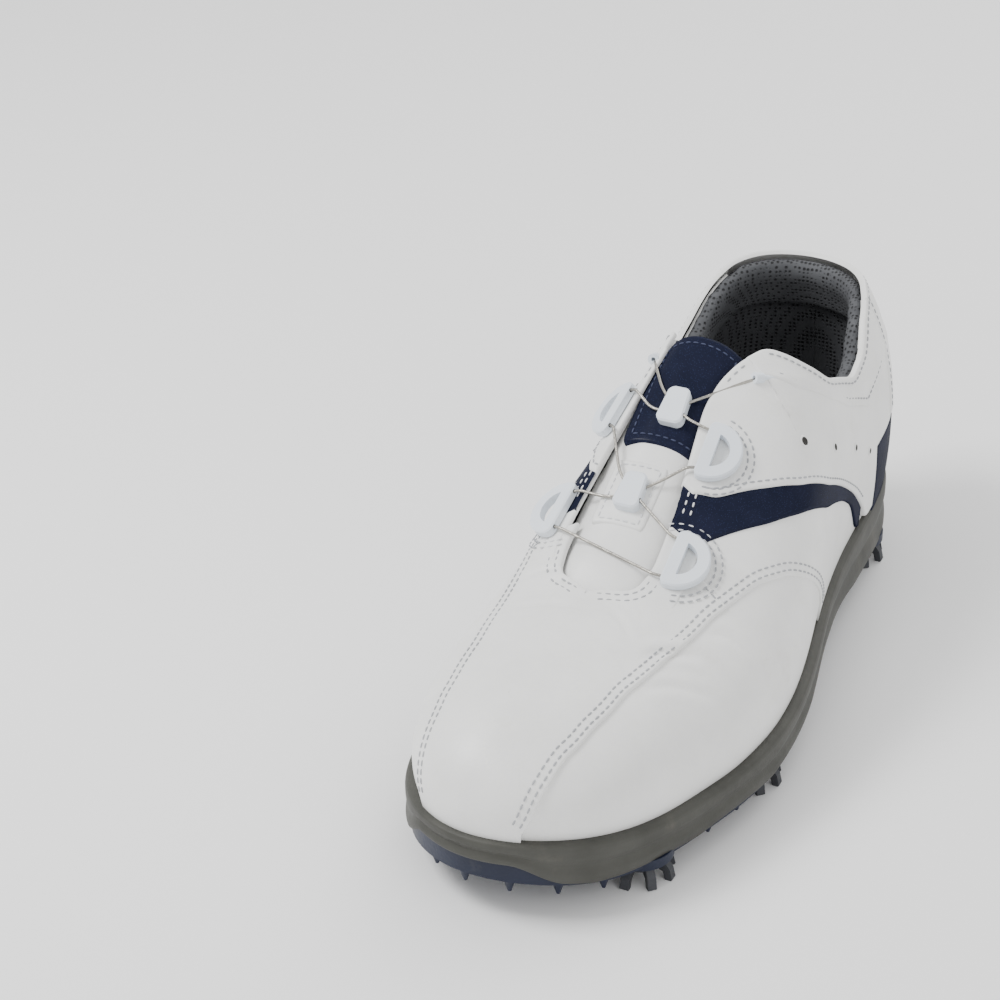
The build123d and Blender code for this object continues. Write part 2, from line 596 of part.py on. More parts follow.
with BuildPart() as tongue_tab:
    loft(sections=hoop_sections(TAB_HOOPS, TONGUE_COVER_LAYER, crown=(TONGUE_CROWN, TONGUE_CROWN)))


# ---- places of the guides, the dial and the lace ---------------------------------------------
def guide_plane(t, v, depth):
    """Plane of a D-shaped guide: x along the throat's edge, y towards the throat, z outwards."""
    base = skin_plane(t, v, depth)
    return base if t > 0 else Plane(origin=base.origin, x_dir=base.x_dir * -1, z_dir=base.z_dir)


def tongue_plane(x, y, height):
    """Plane lying on the tongue's middle at y: x across the shoe, y up the tongue."""
    spine_y = y - LAST_SHIFT[1]
    rise = read(SPINE_HEIGHT, spine_y + 1)[0] - read(SPINE_HEIGHT, spine_y - 1)[0]
    up = Vector(0, -rise, 2).normalized()
    foot = Vector(x, y, read(SPINE_HEIGHT, spine_y)[0] + TONGUE_TOP)
    return Plane(origin=foot + up * height, x_dir=(1, 0, 0), z_dir=up)


def on(plane, x, y, z):
    """A point given in a plane's own axes."""
    return plane.from_local_coords(Vector(x, y, z))


D_GUIDES = {"lace_guide_lateral_lower": guide_plane(0.360, 0.755, 2.0),
            "lace_guide_lateral_upper": guide_plane(0.462, 0.785, 3.3),
            "lace_guide_medial_upper": guide_plane(-0.500, 0.715, 3.3),
            "lace_guide_medial_lower": guide_plane(-0.388, 0.705, 2.0)}
UPPER_TONGUE_GUIDE = tongue_plane(-8, 6, 0.3)
LOWER_TONGUE_GUIDE = tongue_plane(-10.5, -24, 0.3)


def through_d(plane, forward):
    """The lace's points through a D guide: in from the throat, along its straight bar, and out again."""
    reach, back, height = D_LENGTH / 2 - 3.2, -D_BAR / 2 - 0.1, D_THICKNESS / 2
    points = [on(plane, -reach - 0.6, back + D_MOUTH, height), on(plane, -reach, back, height),
              on(plane, reach, back, height), on(plane, reach + 0.6, back + D_MOUTH, height)]
    return points if forward else points[::-1]


def across_tongue(plane, side, height):
    """The lace's points through a tongue guide, from its upper corner on one side to the other's lower."""
    width, length, _ = TONGUE_GUIDE_SIZE
    return [on(plane, side * (width / 2 + 0.6), 0.28 * length, height),
            on(plane, -side * (width / 2 + 0.6), -0.28 * length, height)]


HEEL_POINT = place(1.0, DIAL_V, 0)
DIAL_TILT = 6.0                  # degrees that the dial looks up
DIAL_AXIS = Vector(0, math.cos(math.radians(DIAL_TILT)), math.sin(math.radians(DIAL_TILT)))
DIAL = Plane(origin=HEEL_POINT, x_dir=(-1, 0, 0), z_dir=DIAL_AXIS)
TUBE_STOPS = [(0.935, 0.345), (0.90, 0.35), (0.85, 0.345), (0.79, 0.33), (0.73, 0.35), (0.68, 0.41),
              (0.635, 0.52), (0.60, 0.61)]


def tube_route(side):
    """The lace's points from the dial to the tunnel's mouth on one side."""
    points = [on(DIAL, -side * (HOUSING_BORE + 0.5), 0, LACE_AT),
              on(DIAL, -side * (HOUSING_RADIUS + 2.5), 0, 3.2)]
    points += [place(side * t, v, TUBE_DEPTH) for t, v in TUBE_STOPS]
    points.append(place(side * EXIT_T, EXIT_V, 3.6))
    return points


UPPER_D_LATERAL = D_GUIDES["lace_guide_lateral_upper"]
LOWER_D_LATERAL = D_GUIDES["lace_guide_lateral_lower"]
UPPER_D_MEDIAL = D_GUIDES["lace_guide_medial_upper"]
LOWER_D_MEDIAL = D_GUIDES["lace_guide_medial_lower"]
# lateral D planes run toe to heel along x, medial ones heel to toe
ROUTE = (tube_route(1)
         + across_tongue(UPPER_TONGUE_GUIDE, 1, 1.1) + through_d(UPPER_D_MEDIAL, True)
         + across_tongue(LOWER_TONGUE_GUIDE, -1, 2.7) + through_d(LOWER_D_LATERAL, False)
         + through_d(LOWER_D_MEDIAL, False)
         + across_tongue(LOWER_TONGUE_GUIDE, 1, 1.1)[::-1] + through_d(UPPER_D_LATERAL, True)
         + across_tongue(UPPER_TONGUE_GUIDE, -1, 2.7)[::-1]
         + tube_route(-1)[::-1])


def bend_radii(points):
    """For each corner, 0.45 of its shorter run over the tangent of half the turn."""
    radii = []
    for before, here, after in zip(points, points[1:], points[2:]):
        run_in, run_out = here - before, after - here
        turn = math.radians(run_in.get_angle(run_out))
        radii.append(0.45 * min(run_in.length, run_out.length) / math.tan(turn / 2))
    return radii


def route_line(points):
    """Straight runs joined by tangent arcs."""
    with BuildLine() as line:
        if len(points) == 2:
            Line(*points)
        else:
            FilletPolyline(*points, radius=bend_radii(points))
    return line.wire()


def rod_along(points, radius):
    """A round rod along part of the lace's route."""
    line = route_line(points)
    with BuildPart() as rod:
        with BuildSketch(Plane(origin=line @ 0, z_dir=line % 0)):
            Circle(radius)
        sweep(path=line)
    return rod.part


# ---- guides ----------------------------------------------------------------------------------
def lace_slice(first, count):
    """Part of the lace's route, by the number of its first point."""
    return ROUTE[first:first + count]


TUBE_POINTS = len(TUBE_STOPS) + 3
FIRST_POINT = {"upper_tongue_a": TUBE_POINTS, "lace_guide_medial_upper": TUBE_POINTS + 2,
               "lower_tongue_a": TUBE_POINTS + 6, "lace_guide_lateral_lower": TUBE_POINTS + 8,
               "lace_guide_medial_lower": TUBE_POINTS + 12, "lower_tongue_b": TUBE_POINTS + 16,
               "lace_guide_lateral_upper": TUBE_POINTS + 18, "upper_tongue_b": TUBE_POINTS + 22}

for guide_name, guide_at in D_GUIDES.items():
    channel = rod_along(lace_slice(FIRST_POINT[guide_name], 4), CHANNEL_RADIUS)
    with BuildPart() as d_guide:
        with BuildSketch(guide_at) as d_shape:
            with BuildLine():
                Line((-D_LENGTH / 2, 0), (D_LENGTH / 2, 0))
                ThreePointArc((D_LENGTH / 2, 0), (0, -D_HEIGHT), (-D_LENGTH / 2, 0))
            make_face()
            fillet(d_shape.vertices(), 2.4)
            offset(amount=-D_RIM, mode=Mode.SUBTRACT)
        extrude(amount=D_THICKNESS)
        d_top = d_guide.faces().filter_by(lambda f: f.normal_at().dot(guide_at.z_dir) > 0.99)[0]
        chamfer(d_top.outer_wire().edges(), 0.5)
        add(channel, mode=Mode.SUBTRACT)
    PIECES[guide_name] = d_guide

for guide_name, guide_at, letter in (("tongue_guide_upper", UPPER_TONGUE_GUIDE, "upper_tongue"),
                                     ("tongue_guide_lower", LOWER_TONGUE_GUIDE, "lower_tongue")):
    width, length, thickness = TONGUE_GUIDE_SIZE
    channels = [rod_along([points[0] + (points[0] - points[1]) * 0.2, points[1] + (points[1] - points[0]) * 0.2],
                          CHANNEL_RADIUS) for points in
                (lace_slice(FIRST_POINT[letter + "_a"], 2), lace_slice(FIRST_POINT[letter + "_b"], 2))]
    with BuildPart() as tongue_guide:
        with BuildSketch(guide_at):
            Trapezoid(width, length, 86)
        extrude(amount=thickness)
        fillet(tongue_guide.edges().filter_by(lambda e: abs(e.tangent_at(0.5).dot(guide_at.z_dir)) > 0.9), 2.5)
        tongue_top = tongue_guide.faces().filter_by(lambda f: f.normal_at().dot(guide_at.z_dir) > 0.99)[0]
        chamfer(tongue_top.outer_wire().edges(), 0.6)
        for channel in channels:
            add(channel, mode=Mode.SUBTRACT)
    PIECES[guide_name] = tongue_guide

# ---- the lace, its tubes and its tunnel mouths -----------------------------------------------
with BuildPart() as lace:
    add(rod_along(ROUTE, LACE_RADIUS))

for side, side_name in ((1, "lateral"), (-1, "medial")):
    whole = tube_route(side)
    mouth_way = (whole[-1] - whole[-2]).normalized()
    tube_points = whole[1:-1] + [whole[-1] - mouth_way * 2.5]
    with BuildPart() as lace_tube:
        add(rod_along(tube_points, TUBE_RADIUS))
        add(rod_along(tube_points, CHANNEL_RADIUS), mode=Mode.SUBTRACT)
    PIECES["lace_tube_" + side_name] = lace_tube

with BuildPart() as tunnel_mouths:
    for side in (1, -1):
        whole = tube_route(side)
        mouth_way = (whole[-1] - whole[-2]).normalized()
        with BuildSketch(Plane(origin=whole[-1] - mouth_way * 2.2, z_dir=mouth_way)):
            Circle(1.9)
            Circle(CHANNEL_RADIUS, mode=Mode.SUBTRACT)
        extrude(amount=3.4)

# ---- the heel dial, outwards along its axis --------------------------------------------------
BASE_TOP, HOUSING_TOP = 3.0, 9.2
FLOOR_TOP = 4.1

with BuildPart() as heel_form:
    loft(sections=layer_between([0.80, 0.86, 0.92, 1.0, -0.92, -0.86, -0.80], lambda t: 0.10, lambda t: 0.60,
                                (-12, 1.5)))

with BuildPart() as dial_base:
    with BuildSketch(DIAL.offset(-4)):
        Circle(DIAL_RADIUS)
    extrude(amount=BASE_TOP + 4, taper=3)
    add(heel_form.part, mode=Mode.SUBTRACT)

with BuildPart() as dial_housing:
    with BuildSketch(DIAL.offset(BASE_TOP + 0.1)):
        Circle(HOUSING_RADIUS)
    extrude(amount=HOUSING_TOP - BASE_TOP - 0.1)
    with BuildSketch(DIAL.offset(FLOOR_TOP)):
        Circle(HOUSING_BORE)
        Circle(POST_RADIUS, mode=Mode.SUBTRACT)
    extrude(amount=HOUSING_TOP, mode=Mode.SUBTRACT)
    with BuildSketch(DIAL.offset(HOUSING_TOP - 1.6)):
        with PolarLocations(HOUSING_BORE + 0.1, KNOB_RIBS):
            RegularPolygon(0.75, 3)
    extrude(amount=1.6)
    with BuildSketch(DIAL.offset(FLOOR_TOP + 4.4)):
        Circle(POST_RADIUS)
    extrude(amount=3, mode=Mode.SUBTRACT)
    for side in (1, -1):
        add(rod_along([on(DIAL, -side * (HOUSING_BORE - 1), 0, LACE_AT),
                       on(DIAL, -side * (HOUSING_RADIUS + 1), 0, LACE_AT)],
                      CHANNEL_RADIUS + 0.25), mode=Mode.SUBTRACT)

with BuildPart() as spool:
    for low, high, radius in ((4.4, 4.9, SPOOL_RADIUS), (4.9, 6.5, DRUM_RADIUS), (6.5, 7.0, SPOOL_RADIUS)):
        with BuildSketch(DIAL.offset(low)):
            Circle(radius)
            Circle(POST_RADIUS + RUNNING_GAP, mode=Mode.SUBTRACT)
        extrude(amount=high - low)

with BuildPart() as detent_ring:
    with BuildSketch(DIAL.offset(7.3)):
        Circle(8.3)
        Circle(POST_RADIUS + RUNNING_GAP, mode=Mode.SUBTRACT)
        with PolarLocations(5.4, 4):
            SlotOverall(4.5, 2.2, rotation=90, mode=Mode.SUBTRACT)
    extrude(amount=0.9)

with BuildPart() as knob_core:
    with BuildSketch(DIAL.offset(HOUSING_TOP + 0.3)):
        Circle(KNOB_RADIUS - 2.0)
    extrude(amount=3.2)
    with BuildSketch(DIAL.offset(8.8)):
        Circle(3.4)
    extrude(amount=HOUSING_TOP + 0.3 - 8.8)
    with BuildSketch(DIAL.offset(HOUSING_TOP + 2.5)):
        Circle(6.2)
    extrude(amount=2, mode=Mode.SUBTRACT)

with BuildPart() as knob_grip:
    with BuildSketch(DIAL.offset(HOUSING_TOP + 0.3)):
        Circle(KNOB_RADIUS)
        with PolarLocations(KNOB_RADIUS, KNOB_RIBS):
            Circle(0.8)
        Circle(KNOB_RADIUS - 1.9, mode=Mode.SUBTRACT)
    extrude(amount=3.6)

with BuildPart() as knob_cap:
    with BuildSketch(DIAL.offset(HOUSING_TOP + 2.6)):
        Circle(6.0)
    extrude(amount=1.3)
    fillet(knob_cap.edges().sort_by(Axis.Y)[-1], 0.5)

# ---- write every piece -----------------------------------------------------------------------
PIECES.update(outsole=outsole, midsole=midsole, shank_plate=shank_plate, lasting_board=lasting_board,
              insole=insole, cleat_receptacles=cleat_receptacles, vamp_panel=vamp_panel, toe_puff=toe_puff,
              vamp_lining=vamp_lining, heel_panel=heel_panel, heel_patch=heel_patch, heel_counter=heel_counter,
              heel_lining=heel_lining, collar_padding=collar_padding, collar_lining=collar_lining,
              tongue_lining=tongue_lining, tongue_padding=tongue_padding, tongue_top_panel=tongue_top_panel,
              tongue_tab=tongue_tab, lace=lace, tunnel_mouths=tunnel_mouths, dial_base=dial_base,
              dial_housing=dial_housing, spool=spool, detent_ring=detent_ring, knob_core=knob_core,
              knob_grip=knob_grip, knob_cap=knob_cap)
for name, piece in PIECES.items():
    piece.part.label = name
    export_step(piece.part, f"parts/{name}.step")
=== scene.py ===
"""The golf shoe's looks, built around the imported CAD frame. Lengths are millimetres until a mesh is made.

A place on the upper is (t, v, depth), as in the CAD source: t is the share of the way from the toe tip
(0) to the heel (+1 by the lateral side, -1 by the medial side), v climbs from the feather line (0) to the
spine over the foot (1), and depth is the distance outside the upper's skin.
"""
import math

import bmesh
import bpy
import numpy as np
from mathutils import Matrix


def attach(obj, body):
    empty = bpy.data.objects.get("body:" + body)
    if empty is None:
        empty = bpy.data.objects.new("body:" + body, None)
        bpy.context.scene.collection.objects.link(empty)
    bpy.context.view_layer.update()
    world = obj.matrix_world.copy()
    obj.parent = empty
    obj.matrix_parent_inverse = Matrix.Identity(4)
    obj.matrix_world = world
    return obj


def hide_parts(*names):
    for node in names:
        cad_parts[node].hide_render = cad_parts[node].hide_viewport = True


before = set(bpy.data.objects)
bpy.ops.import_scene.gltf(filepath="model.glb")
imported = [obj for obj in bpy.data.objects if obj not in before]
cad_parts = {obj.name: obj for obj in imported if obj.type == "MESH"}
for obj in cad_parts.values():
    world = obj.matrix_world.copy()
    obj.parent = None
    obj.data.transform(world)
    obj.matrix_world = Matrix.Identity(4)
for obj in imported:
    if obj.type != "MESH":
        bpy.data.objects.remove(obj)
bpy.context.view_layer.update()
MM = 0.001
SHOE = "shoe"
SIDES = ((1, "lateral"), (-1, "medial"))

# ---- the last: the same driving values as the CAD source -------------------------------------
LAST_SHIFT = (-5.0, -2.35)
FEATHER_LATERAL = [(-8, -144), (15, -139.5), (34, -121), (46, -92), (54.5, -58), (54, -20), (46, 20),
                   (40, 60), (37, 100), (27, 129), (0, 140)]
FEATHER_MEDIAL = [(-26, 129), (-34, 101), (-32, 62), (-30, 26), (-35, -10), (-43, -45), (-45.5, -77),
                  (-41, -107), (-29, -131)]
FEATHER_HEIGHT = [(-150, 29), (-110, 23), (-60, 22), (0, 25), (60, 29), (145, 33)]
SPINE_X = [(-150, -12), (-112, -7), (-80, -5), (-50, -5), (0, -6.5), (30, -5), (60, -1), (100, 0)]
SPINE_HEIGHT = [(-112, 57.5), (-80, 62), (-52, 67), (-30, 77), (0, 94), (30, 112), (60, 124), (96, 127)]
RIBS = [(0.0, -112, 5, 20, 18), (0.1, -104, 6, 22, 22), (0.2, -84, 6, 28, 26), (0.35, -36, 6, 34, 26),
        (0.5, 16, 5, 48, 22), (0.65, 60, 3, 62, 18), (0.8, 86, 5, 62, 22), (0.9, 93, 8, 60, 26),
        (1.0, 96, 8, 58, 28)]
WAIST_BULGE = (9.0, 0.56, 0.16)
OUTSOLE_BOTTOM = [(-152, 15), (-130, 10), (-105, 8.3), (-60, 8), (-25, 9.5), (20, 13), (50, 10.5), (75, 8.3),
                  (120, 8.2), (138, 10.5), (150, 14)]
OUTSOLE_TOP = [(-152, 21), (-130, 18), (-112, 14), (-95, 12), (-60, 11.5), (-25, 12.5), (20, 16), (50, 14),
               (80, 12.2), (120, 12.4), (150, 16)]
THROAT_LATERAL = [(0.30, 0.90), (0.315, 0.83), (0.345, 0.80), (0.40, 0.805), (0.45, 0.82), (0.50, 0.84),
                  (0.53, 0.825), (0.56, 0.79), (0.60, 0.725), (0.64, 0.58), (0.68, 0.46), (0.74, 0.385),
                  (0.78, 0.41), (0.82, 0.49), (0.87, 0.54), (0.93, 0.55), (1.0, 0.55)]
THROAT_MEDIAL = [(0.30, 0.90), (0.315, 0.80), (0.345, 0.76), (0.40, 0.76), (0.45, 0.765), (0.50, 0.77),
                 (0.53, 0.77), (0.56, 0.76), (0.60, 0.715), (0.64, 0.58), (0.68, 0.46), (0.74, 0.385),
                 (0.78, 0.41), (0.82, 0.49), (0.87, 0.54), (0.93, 0.55), (1.0, 0.55)]
SIDE_SEAM = [(0.0, 0.0), (0.058, 0.0), (0.063, 0.12), (0.07, 0.24), (0.085, 0.37), (0.106, 0.476),
             (0.15, 0.554), (0.21, 0.59), (0.28, 0.57), (0.35, 0.525), (0.42, 0.43), (0.465, 0.335),
             (0.50, 0.24), (0.53, 0.155), (0.558, 0.06), (0.57, 0.0)]
STRIPE_LOW = [(0.385, 0.70), (0.40, 0.66), (0.424, 0.60), (0.471, 0.484), (0.521, 0.381), (0.60, 0.238),
              (0.674, 0.145), (0.707, 0.095), (0.74, 0.0)]
WING_LOW = [(0.425, 0.79), (0.434, 0.704), (0.444, 0.669), (0.468, 0.604), (0.497, 0.524), (0.542, 0.414),
            (0.612, 0.276), (0.66, 0.20), (0.711, 0.118), (0.745, 0.05), (0.765, 0.0), (0.86, 0.0)]
COLLAR_SEAM = [(0.57, 0.705), (0.61, 0.56), (0.67, 0.42), (0.71, 0.345), (0.765, 0.28), (0.815, 0.31),
               (0.86, 0.36), (1.0, 0.40)]


def spline_through(places, values, wanted, closed=False):
    """Cubic spline through values at the given places, natural or closed, read at wanted."""
    xs = np.asarray(places, float)
    ys = np.asarray(values, float).reshape(len(xs), -1)
    gaps = np.diff(xs)
    rows = np.zeros((len(xs), len(xs)))
    right = np.zeros(ys.shape)
    for i in range(1, len(xs) - 1):
        rows[i, i - 1:i + 2] = gaps[i - 1], 2 * (gaps[i - 1] + gaps[i]), gaps[i]
        right[i] = 6 * ((ys[i + 1] - ys[i]) / gaps[i] - (ys[i] - ys[i - 1]) / gaps[i - 1])
    if closed:
        rows[0, 0], rows[0, -1] = 1, -1
        rows[-1, 0], rows[-1, 1], rows[-1, -2], rows[-1, -1] = 2 * gaps[0], gaps[0], gaps[-1], 2 * gaps[-1]
        right[-1] = 6 * ((ys[1] - ys[0]) / gaps[0] - (ys[-1] - ys[-2]) / gaps[-1])
    else:
        rows[0, 0] = rows[-1, -1] = 1
    bends = np.linalg.solve(rows, right)
    at = np.asarray(wanted, float).ravel()
    i = np.clip(np.searchsorted(xs, at) - 1, 0, len(xs) - 2)
    b = (at - xs[i])[:, None] / gaps[i][:, None]
    a = 1 - b
    h = gaps[i][:, None]
    return a * ys[i] + b * ys[i + 1] + ((a**3 - a) * bends[i] + (b**3 - b) * bends[i + 1]) * h**2 / 6


def read(table, at):
    """Numbers from a two-column table, by cubic spline, in the shape of at."""
    xs, ys = zip(*table)
    return spline_through(xs, ys, at)[:, 0].reshape(np.shape(at))


def edge(table, t):
    """How far up the rib an edge table lies at t."""
    xs, ys = zip(*table)
    return np.interp(np.abs(t), xs, ys)


def soft_edge(table, t):
    """An edge table with its corners eased, for panel edges."""
    t = np.abs(t)
    return sum(edge(table, t + shift) for shift in (-0.008, -0.004, 0, 0.004, 0.008)) / 5


def throat(t):
    """How far up the rib the upper reaches at t."""
    t = np.asarray(t, float)
    return np.where(t > 0, soft_edge(THROAT_LATERAL, t), soft_edge(THROAT_MEDIAL, t))


PLAN = np.array(FEATHER_LATERAL + FEATHER_MEDIAL + FEATHER_LATERAL[:1], float)
PLAN_AT = np.concatenate([[0], np.cumsum(np.linalg.norm(np.diff(PLAN, axis=0), axis=1))])
FINE_AT = np.linspace(0, PLAN_AT[-1], 3001)
FINE = spline_through(PLAN_AT, PLAN, FINE_AT, closed=True)
WALKED = np.concatenate([[0], np.cumsum(np.linalg.norm(np.diff(FINE, axis=0), axis=1))])
HEEL_WALK = WALKED[np.argmin(np.abs(FINE_AT - PLAN_AT[len(FEATHER_LATERAL) - 1]))]
RIB_TABLE = np.array([(-t, *rest) for t, *rest in RIBS[:0:-1]] + RIBS, float)


def plan(t):
    """The feather line in plan, at shares t of the way round."""
    walk = np.where(t >= 0, t * HEEL_WALK, WALKED[-1] + t * (WALKED[-1] - HEEL_WALK))
    return np.stack([np.interp(walk, WALKED, FINE[:, 0]), np.interp(walk, WALKED, FINE[:, 1])], -1)


def skin(t, v, depth=0.0):
    """Points of the upper's surface; t, v and depth are arrays of one shape, or numbers."""
    t, v, depth = np.broadcast_arrays(np.asarray(t, float), v, depth)
    flat = plan(t)
    foot = np.concatenate([flat, read(FEATHER_HEIGHT, flat[..., 1])[..., None]], -1)
    columns = spline_through(RIB_TABLE[:, 0], RIB_TABLE[:, 1:], t)
    lean, out, up, over = (columns[:, i].reshape(t.shape) for i in range(4))
    bulge, centre, spread = WAIST_BULGE
    out = out + np.where(t > 0, bulge * np.exp(-((t - centre) / spread)**2), 0)
    top = np.stack([read(SPINE_X, lean), lean, read(SPINE_HEIGHT, lean)], -1)
    run = np.hypot(top[..., 0] - foot[..., 0], top[..., 1] - foot[..., 1])
    inward = (top[..., :2] - foot[..., :2]) / run[..., None]
    slope = inward[..., 1] * (read(SPINE_HEIGHT, lean + 0.5) - read(SPINE_HEIGHT, lean - 0.5))
    rise = top[..., 2] - foot[..., 2]
    handles = [(-depth, 0 * run), (-out - depth, up + 0.3 * depth),
               (run - over - 0.3 * depth, rise - over * slope + depth), (run, rise + depth)]
    weights = ((1 - v)**3, 3 * (1 - v)**2 * v, 3 * (1 - v) * v * v, v**3)
    step = sum(w * p[0] for w, p in zip(weights, handles))
    climb = sum(w * p[1] for w, p in zip(weights, handles))
    return foot + [*LAST_SHIFT, 0] + np.concatenate([inward * step[..., None], climb[..., None]], -1)


# ---- mesh helpers ----------------------------------------------------------------------------
WELD_GAP = 0.0002                # metres between points that are joined


def add_mesh(name, points, faces, material):
    """A smooth mesh object from points in millimetres, riding on the shoe."""
    mesh = bpy.data.meshes.new(name)
    mesh.from_pydata((np.asarray(points, float) * MM).tolist(), [], [list(map(int, f)) for f in faces])
    mesh.validate()
    mesh.materials.append(material)
    mesh.polygons.foreach_set("use_smooth", [True] * len(mesh.polygons))
    piece = bpy.data.objects.new(name, mesh)
    bpy.context.scene.collection.objects.link(piece)
    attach(piece, SHOE)
    return piece


def grid_faces(rows, columns, closed=False):
    """Quads of a grid stored row by row; closed joins the last row to the first."""
    i, j = np.meshgrid(np.arange(rows if closed else rows - 1), np.arange(columns - 1), indexing="ij")
    a = i * columns + j
    b = ((i + 1) % rows) * columns + j
    return np.stack([a, b, b + 1, a + 1], -1).reshape(-1, 4)


def weld(piece):
    """Joins points that lie together."""
    work = bmesh.new()
    work.from_mesh(piece.data)
    bmesh.ops.remove_doubles(work, verts=work.verts, dist=WELD_GAP)
    bmesh.ops.recalc_face_normals(work, faces=work.faces)
    work.to_mesh(piece.data)
    work.free()
    return piece


def arc_lengths(points, axis):
    """Distance walked along one axis of a grid of points."""
    steps = np.linalg.norm(np.diff(points, axis=axis), axis=-1)
    walked = np.cumsum(steps, axis=axis)
    return np.concatenate([np.zeros_like(np.take(walked, [0], axis)), walked], axis)


def eased(count, length, lip):
    """Shares from 0 to 1 for a strip of that length, close together near both ends."""
    near = np.array([0, 0.12, 0.3, 0.55, 0.8, 1.1]) * lip / length
    middle = np.linspace(near[-1], 1 - near[-1], max(count, 3))
    return np.concatenate([near[:-1], middle, 1 - near[-2::-1]])


def add_patches(name, patches, material, replaced=()):
    """One piece from several patches, welded where they meet."""
    points, faces, start = [], [], 0
    for patch in patches:
        p, f = patch.mesh()
        points.append(p)
        faces.append(f + start)
        start += len(p)
    piece = add_mesh(name, np.concatenate(points), np.concatenate(faces), material)
    weld(piece)
    if replaced:
        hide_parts(*replaced)
    return piece


def frames_on_skin(t, v, depth):
    """Points on the skin with outward normals, and the change per unit of t and of v."""
    here = skin(t, v, depth)
    by_t = (skin(t + 0.002, v, depth) - skin(t - 0.002, v, depth)) / 0.004
    by_v = (skin(t, v + 0.002, depth) - skin(t, v - 0.002, depth)) / 0.004
    out = np.cross(by_t, by_v)
    out /= np.linalg.norm(out, axis=-1, keepdims=True)
    return here, out, by_t, by_v


def moved_over(t, v, by_t, by_v, move):
    """(t, v) after a move in mm over the skin, from the skin's change per unit of t and of v."""
    aa, ab, bb = (by_t * by_t).sum(-1), (by_t * by_v).sum(-1), (by_v * by_v).sum(-1)
    ra, rb = (by_t * move).sum(-1), (by_v * move).sum(-1)
    det = aa * bb - ab**2
    return t + (ra * bb - rb * ab) / det, v + (rb * aa - ra * ab) / det


def beside(t, v, distance):
    """A path in (t, v) moved sideways over the skin by distance in mm, to the left seen from outside."""
    here, out, by_t, by_v = frames_on_skin(t, v, 0)
    way = np.gradient(here, axis=0)
    aside = np.cross(out, way)
    aside /= np.linalg.norm(aside, axis=-1, keepdims=True)
    return moved_over(t, v, by_t, by_v, aside * distance)


STITCH_RING = 6                  # points round a stitch
STITCH_PITCH = 2.7
STITCH_FILL = 0.72               # share of the pitch that the thread shows
STITCH_RADIUS = 0.32
STITCH_SINK = 0.1


def stitches(path, out):
    """Capsules laid end to end along a path of points, with outward directions: points and faces."""
    walked = np.concatenate([[0], np.cumsum(np.linalg.norm(np.diff(path, axis=0), axis=1))])
    count = max(int(walked[-1] / STITCH_PITCH), 1)
    points, faces = [], []
    shares = np.array([-0.5, -0.42, -0.2, 0.2, 0.42, 0.5])
    thick = np.array([0.05, 0.7, 1.0, 1.0, 0.7, 0.05])
    for k in range(count):
        at = (k + 0.5) * walked[-1] / count + shares * STITCH_PITCH * STITCH_FILL
        centre = np.stack([np.interp(at, walked, path[:, i]) for i in range(3)], -1)
        normal = np.stack([np.interp(at, walked, out[:, i]) for i in range(3)], -1)
        normal /= np.linalg.norm(normal, axis=1, keepdims=True)
        way = np.gradient(centre, axis=0)
        way /= np.linalg.norm(way, axis=1, keepdims=True) + 1e-9
        side = np.cross(normal, way)
        droop = 0.25 * np.abs(shares)[:, None] * 2 * STITCH_RADIUS
        lift = normal * (STITCH_RADIUS * 0.75 - STITCH_SINK - droop)
        for j in range(STITCH_RING):
            angle = 2 * math.pi * j / STITCH_RING
            ring = math.cos(angle) * side + 0.75 * math.sin(angle) * normal
            points.append(centre + lift + ring * STITCH_RADIUS * thick[:, None])
        base = k * STITCH_RING * len(shares)
        for j in range(STITCH_RING):
            for s in range(len(shares) - 1):
                a = base + j * len(shares) + s
                b = base + ((j + 1) % STITCH_RING) * len(shares) + s
                faces.append((a, b, b + 1, a + 1))
    return np.concatenate(points), np.array(faces)


class Thread:
    """Stitch rows gathered into one piece."""

    def __init__(self):
        self.points, self.faces, self.count = [], [], 0

    def add(self, points, faces):
        self.points.append(points)
        self.faces.append(faces + self.count)
        self.count += len(points)

    def row(self, t, v, depth, offsets=(0.0,)):
        """Rows on the upper along a path in (t, v), each moved sideways by an offset in mm."""
        for offset in offsets:
            moved_t, moved_v = beside(t, v, offset) if offset else (t, v)
            here, out, _, _ = frames_on_skin(moved_t, moved_v, depth)
            self.add(*stitches(here, out * np.sign(out_sign(here, out))[:, None]))

    def finish(self, name, material, slot):
        """The gathered rows as one piece."""
        return add_mesh(name, np.concatenate(self.points), np.concatenate(self.faces), material)


def out_sign(here, out):
    """+1 where a direction points out of the shoe."""
    core = np.stack([here[:, 0] * 0 + LAST_SHIFT[0], here[:, 1] * 0.86, here[:, 2] * 0 + 35], -1)
    return ((here - core) * out).sum(-1)


# ---- materials -------------------------------------------------------------------------------
def node(tree, kind, **values):
    """A shader node with its inputs set by name and its links made from outputs given as values."""
    made = tree.nodes.new(kind)
    for key, value in values.items():
        key = key.replace("_", " ")
        if isinstance(value, bpy.types.NodeSocket):
            tree.links.new(value, made.inputs[key])
        elif key in made.inputs:
            made.inputs[key].default_value = value
        else:
            setattr(made, key.replace(" ", "_").lower(), value)
    return made


def bumped(tree, under, height, distance, strength=1.0):
    """The normal after a bump of that many metres, laid over the normal so far."""
    links = {"Normal": under} if under else {}
    bump = node(tree, "ShaderNodeBump", Height=height, Strength=strength, Distance=distance, **links)
    return bump.outputs["Normal"]


def blended(tree, share, first, second):
    """Two colours or colour sockets mixed by a share."""
    return node(tree, "ShaderNodeMixRGB", Fac=share, Color1=first, Color2=second).outputs["Color"]


SCUFF = (0.42, 0.37, 0.28, 1)
# colour of the painted glints on the navy patent: light specks for the glossy coat's glints
PAINTED_GLINT = (0.10, 0.14, 0.34, 1)
# near black painted shade for the holes of a weave
WEAVE_HOLE_SHADE = (0.012, 0.012, 0.014, 1)


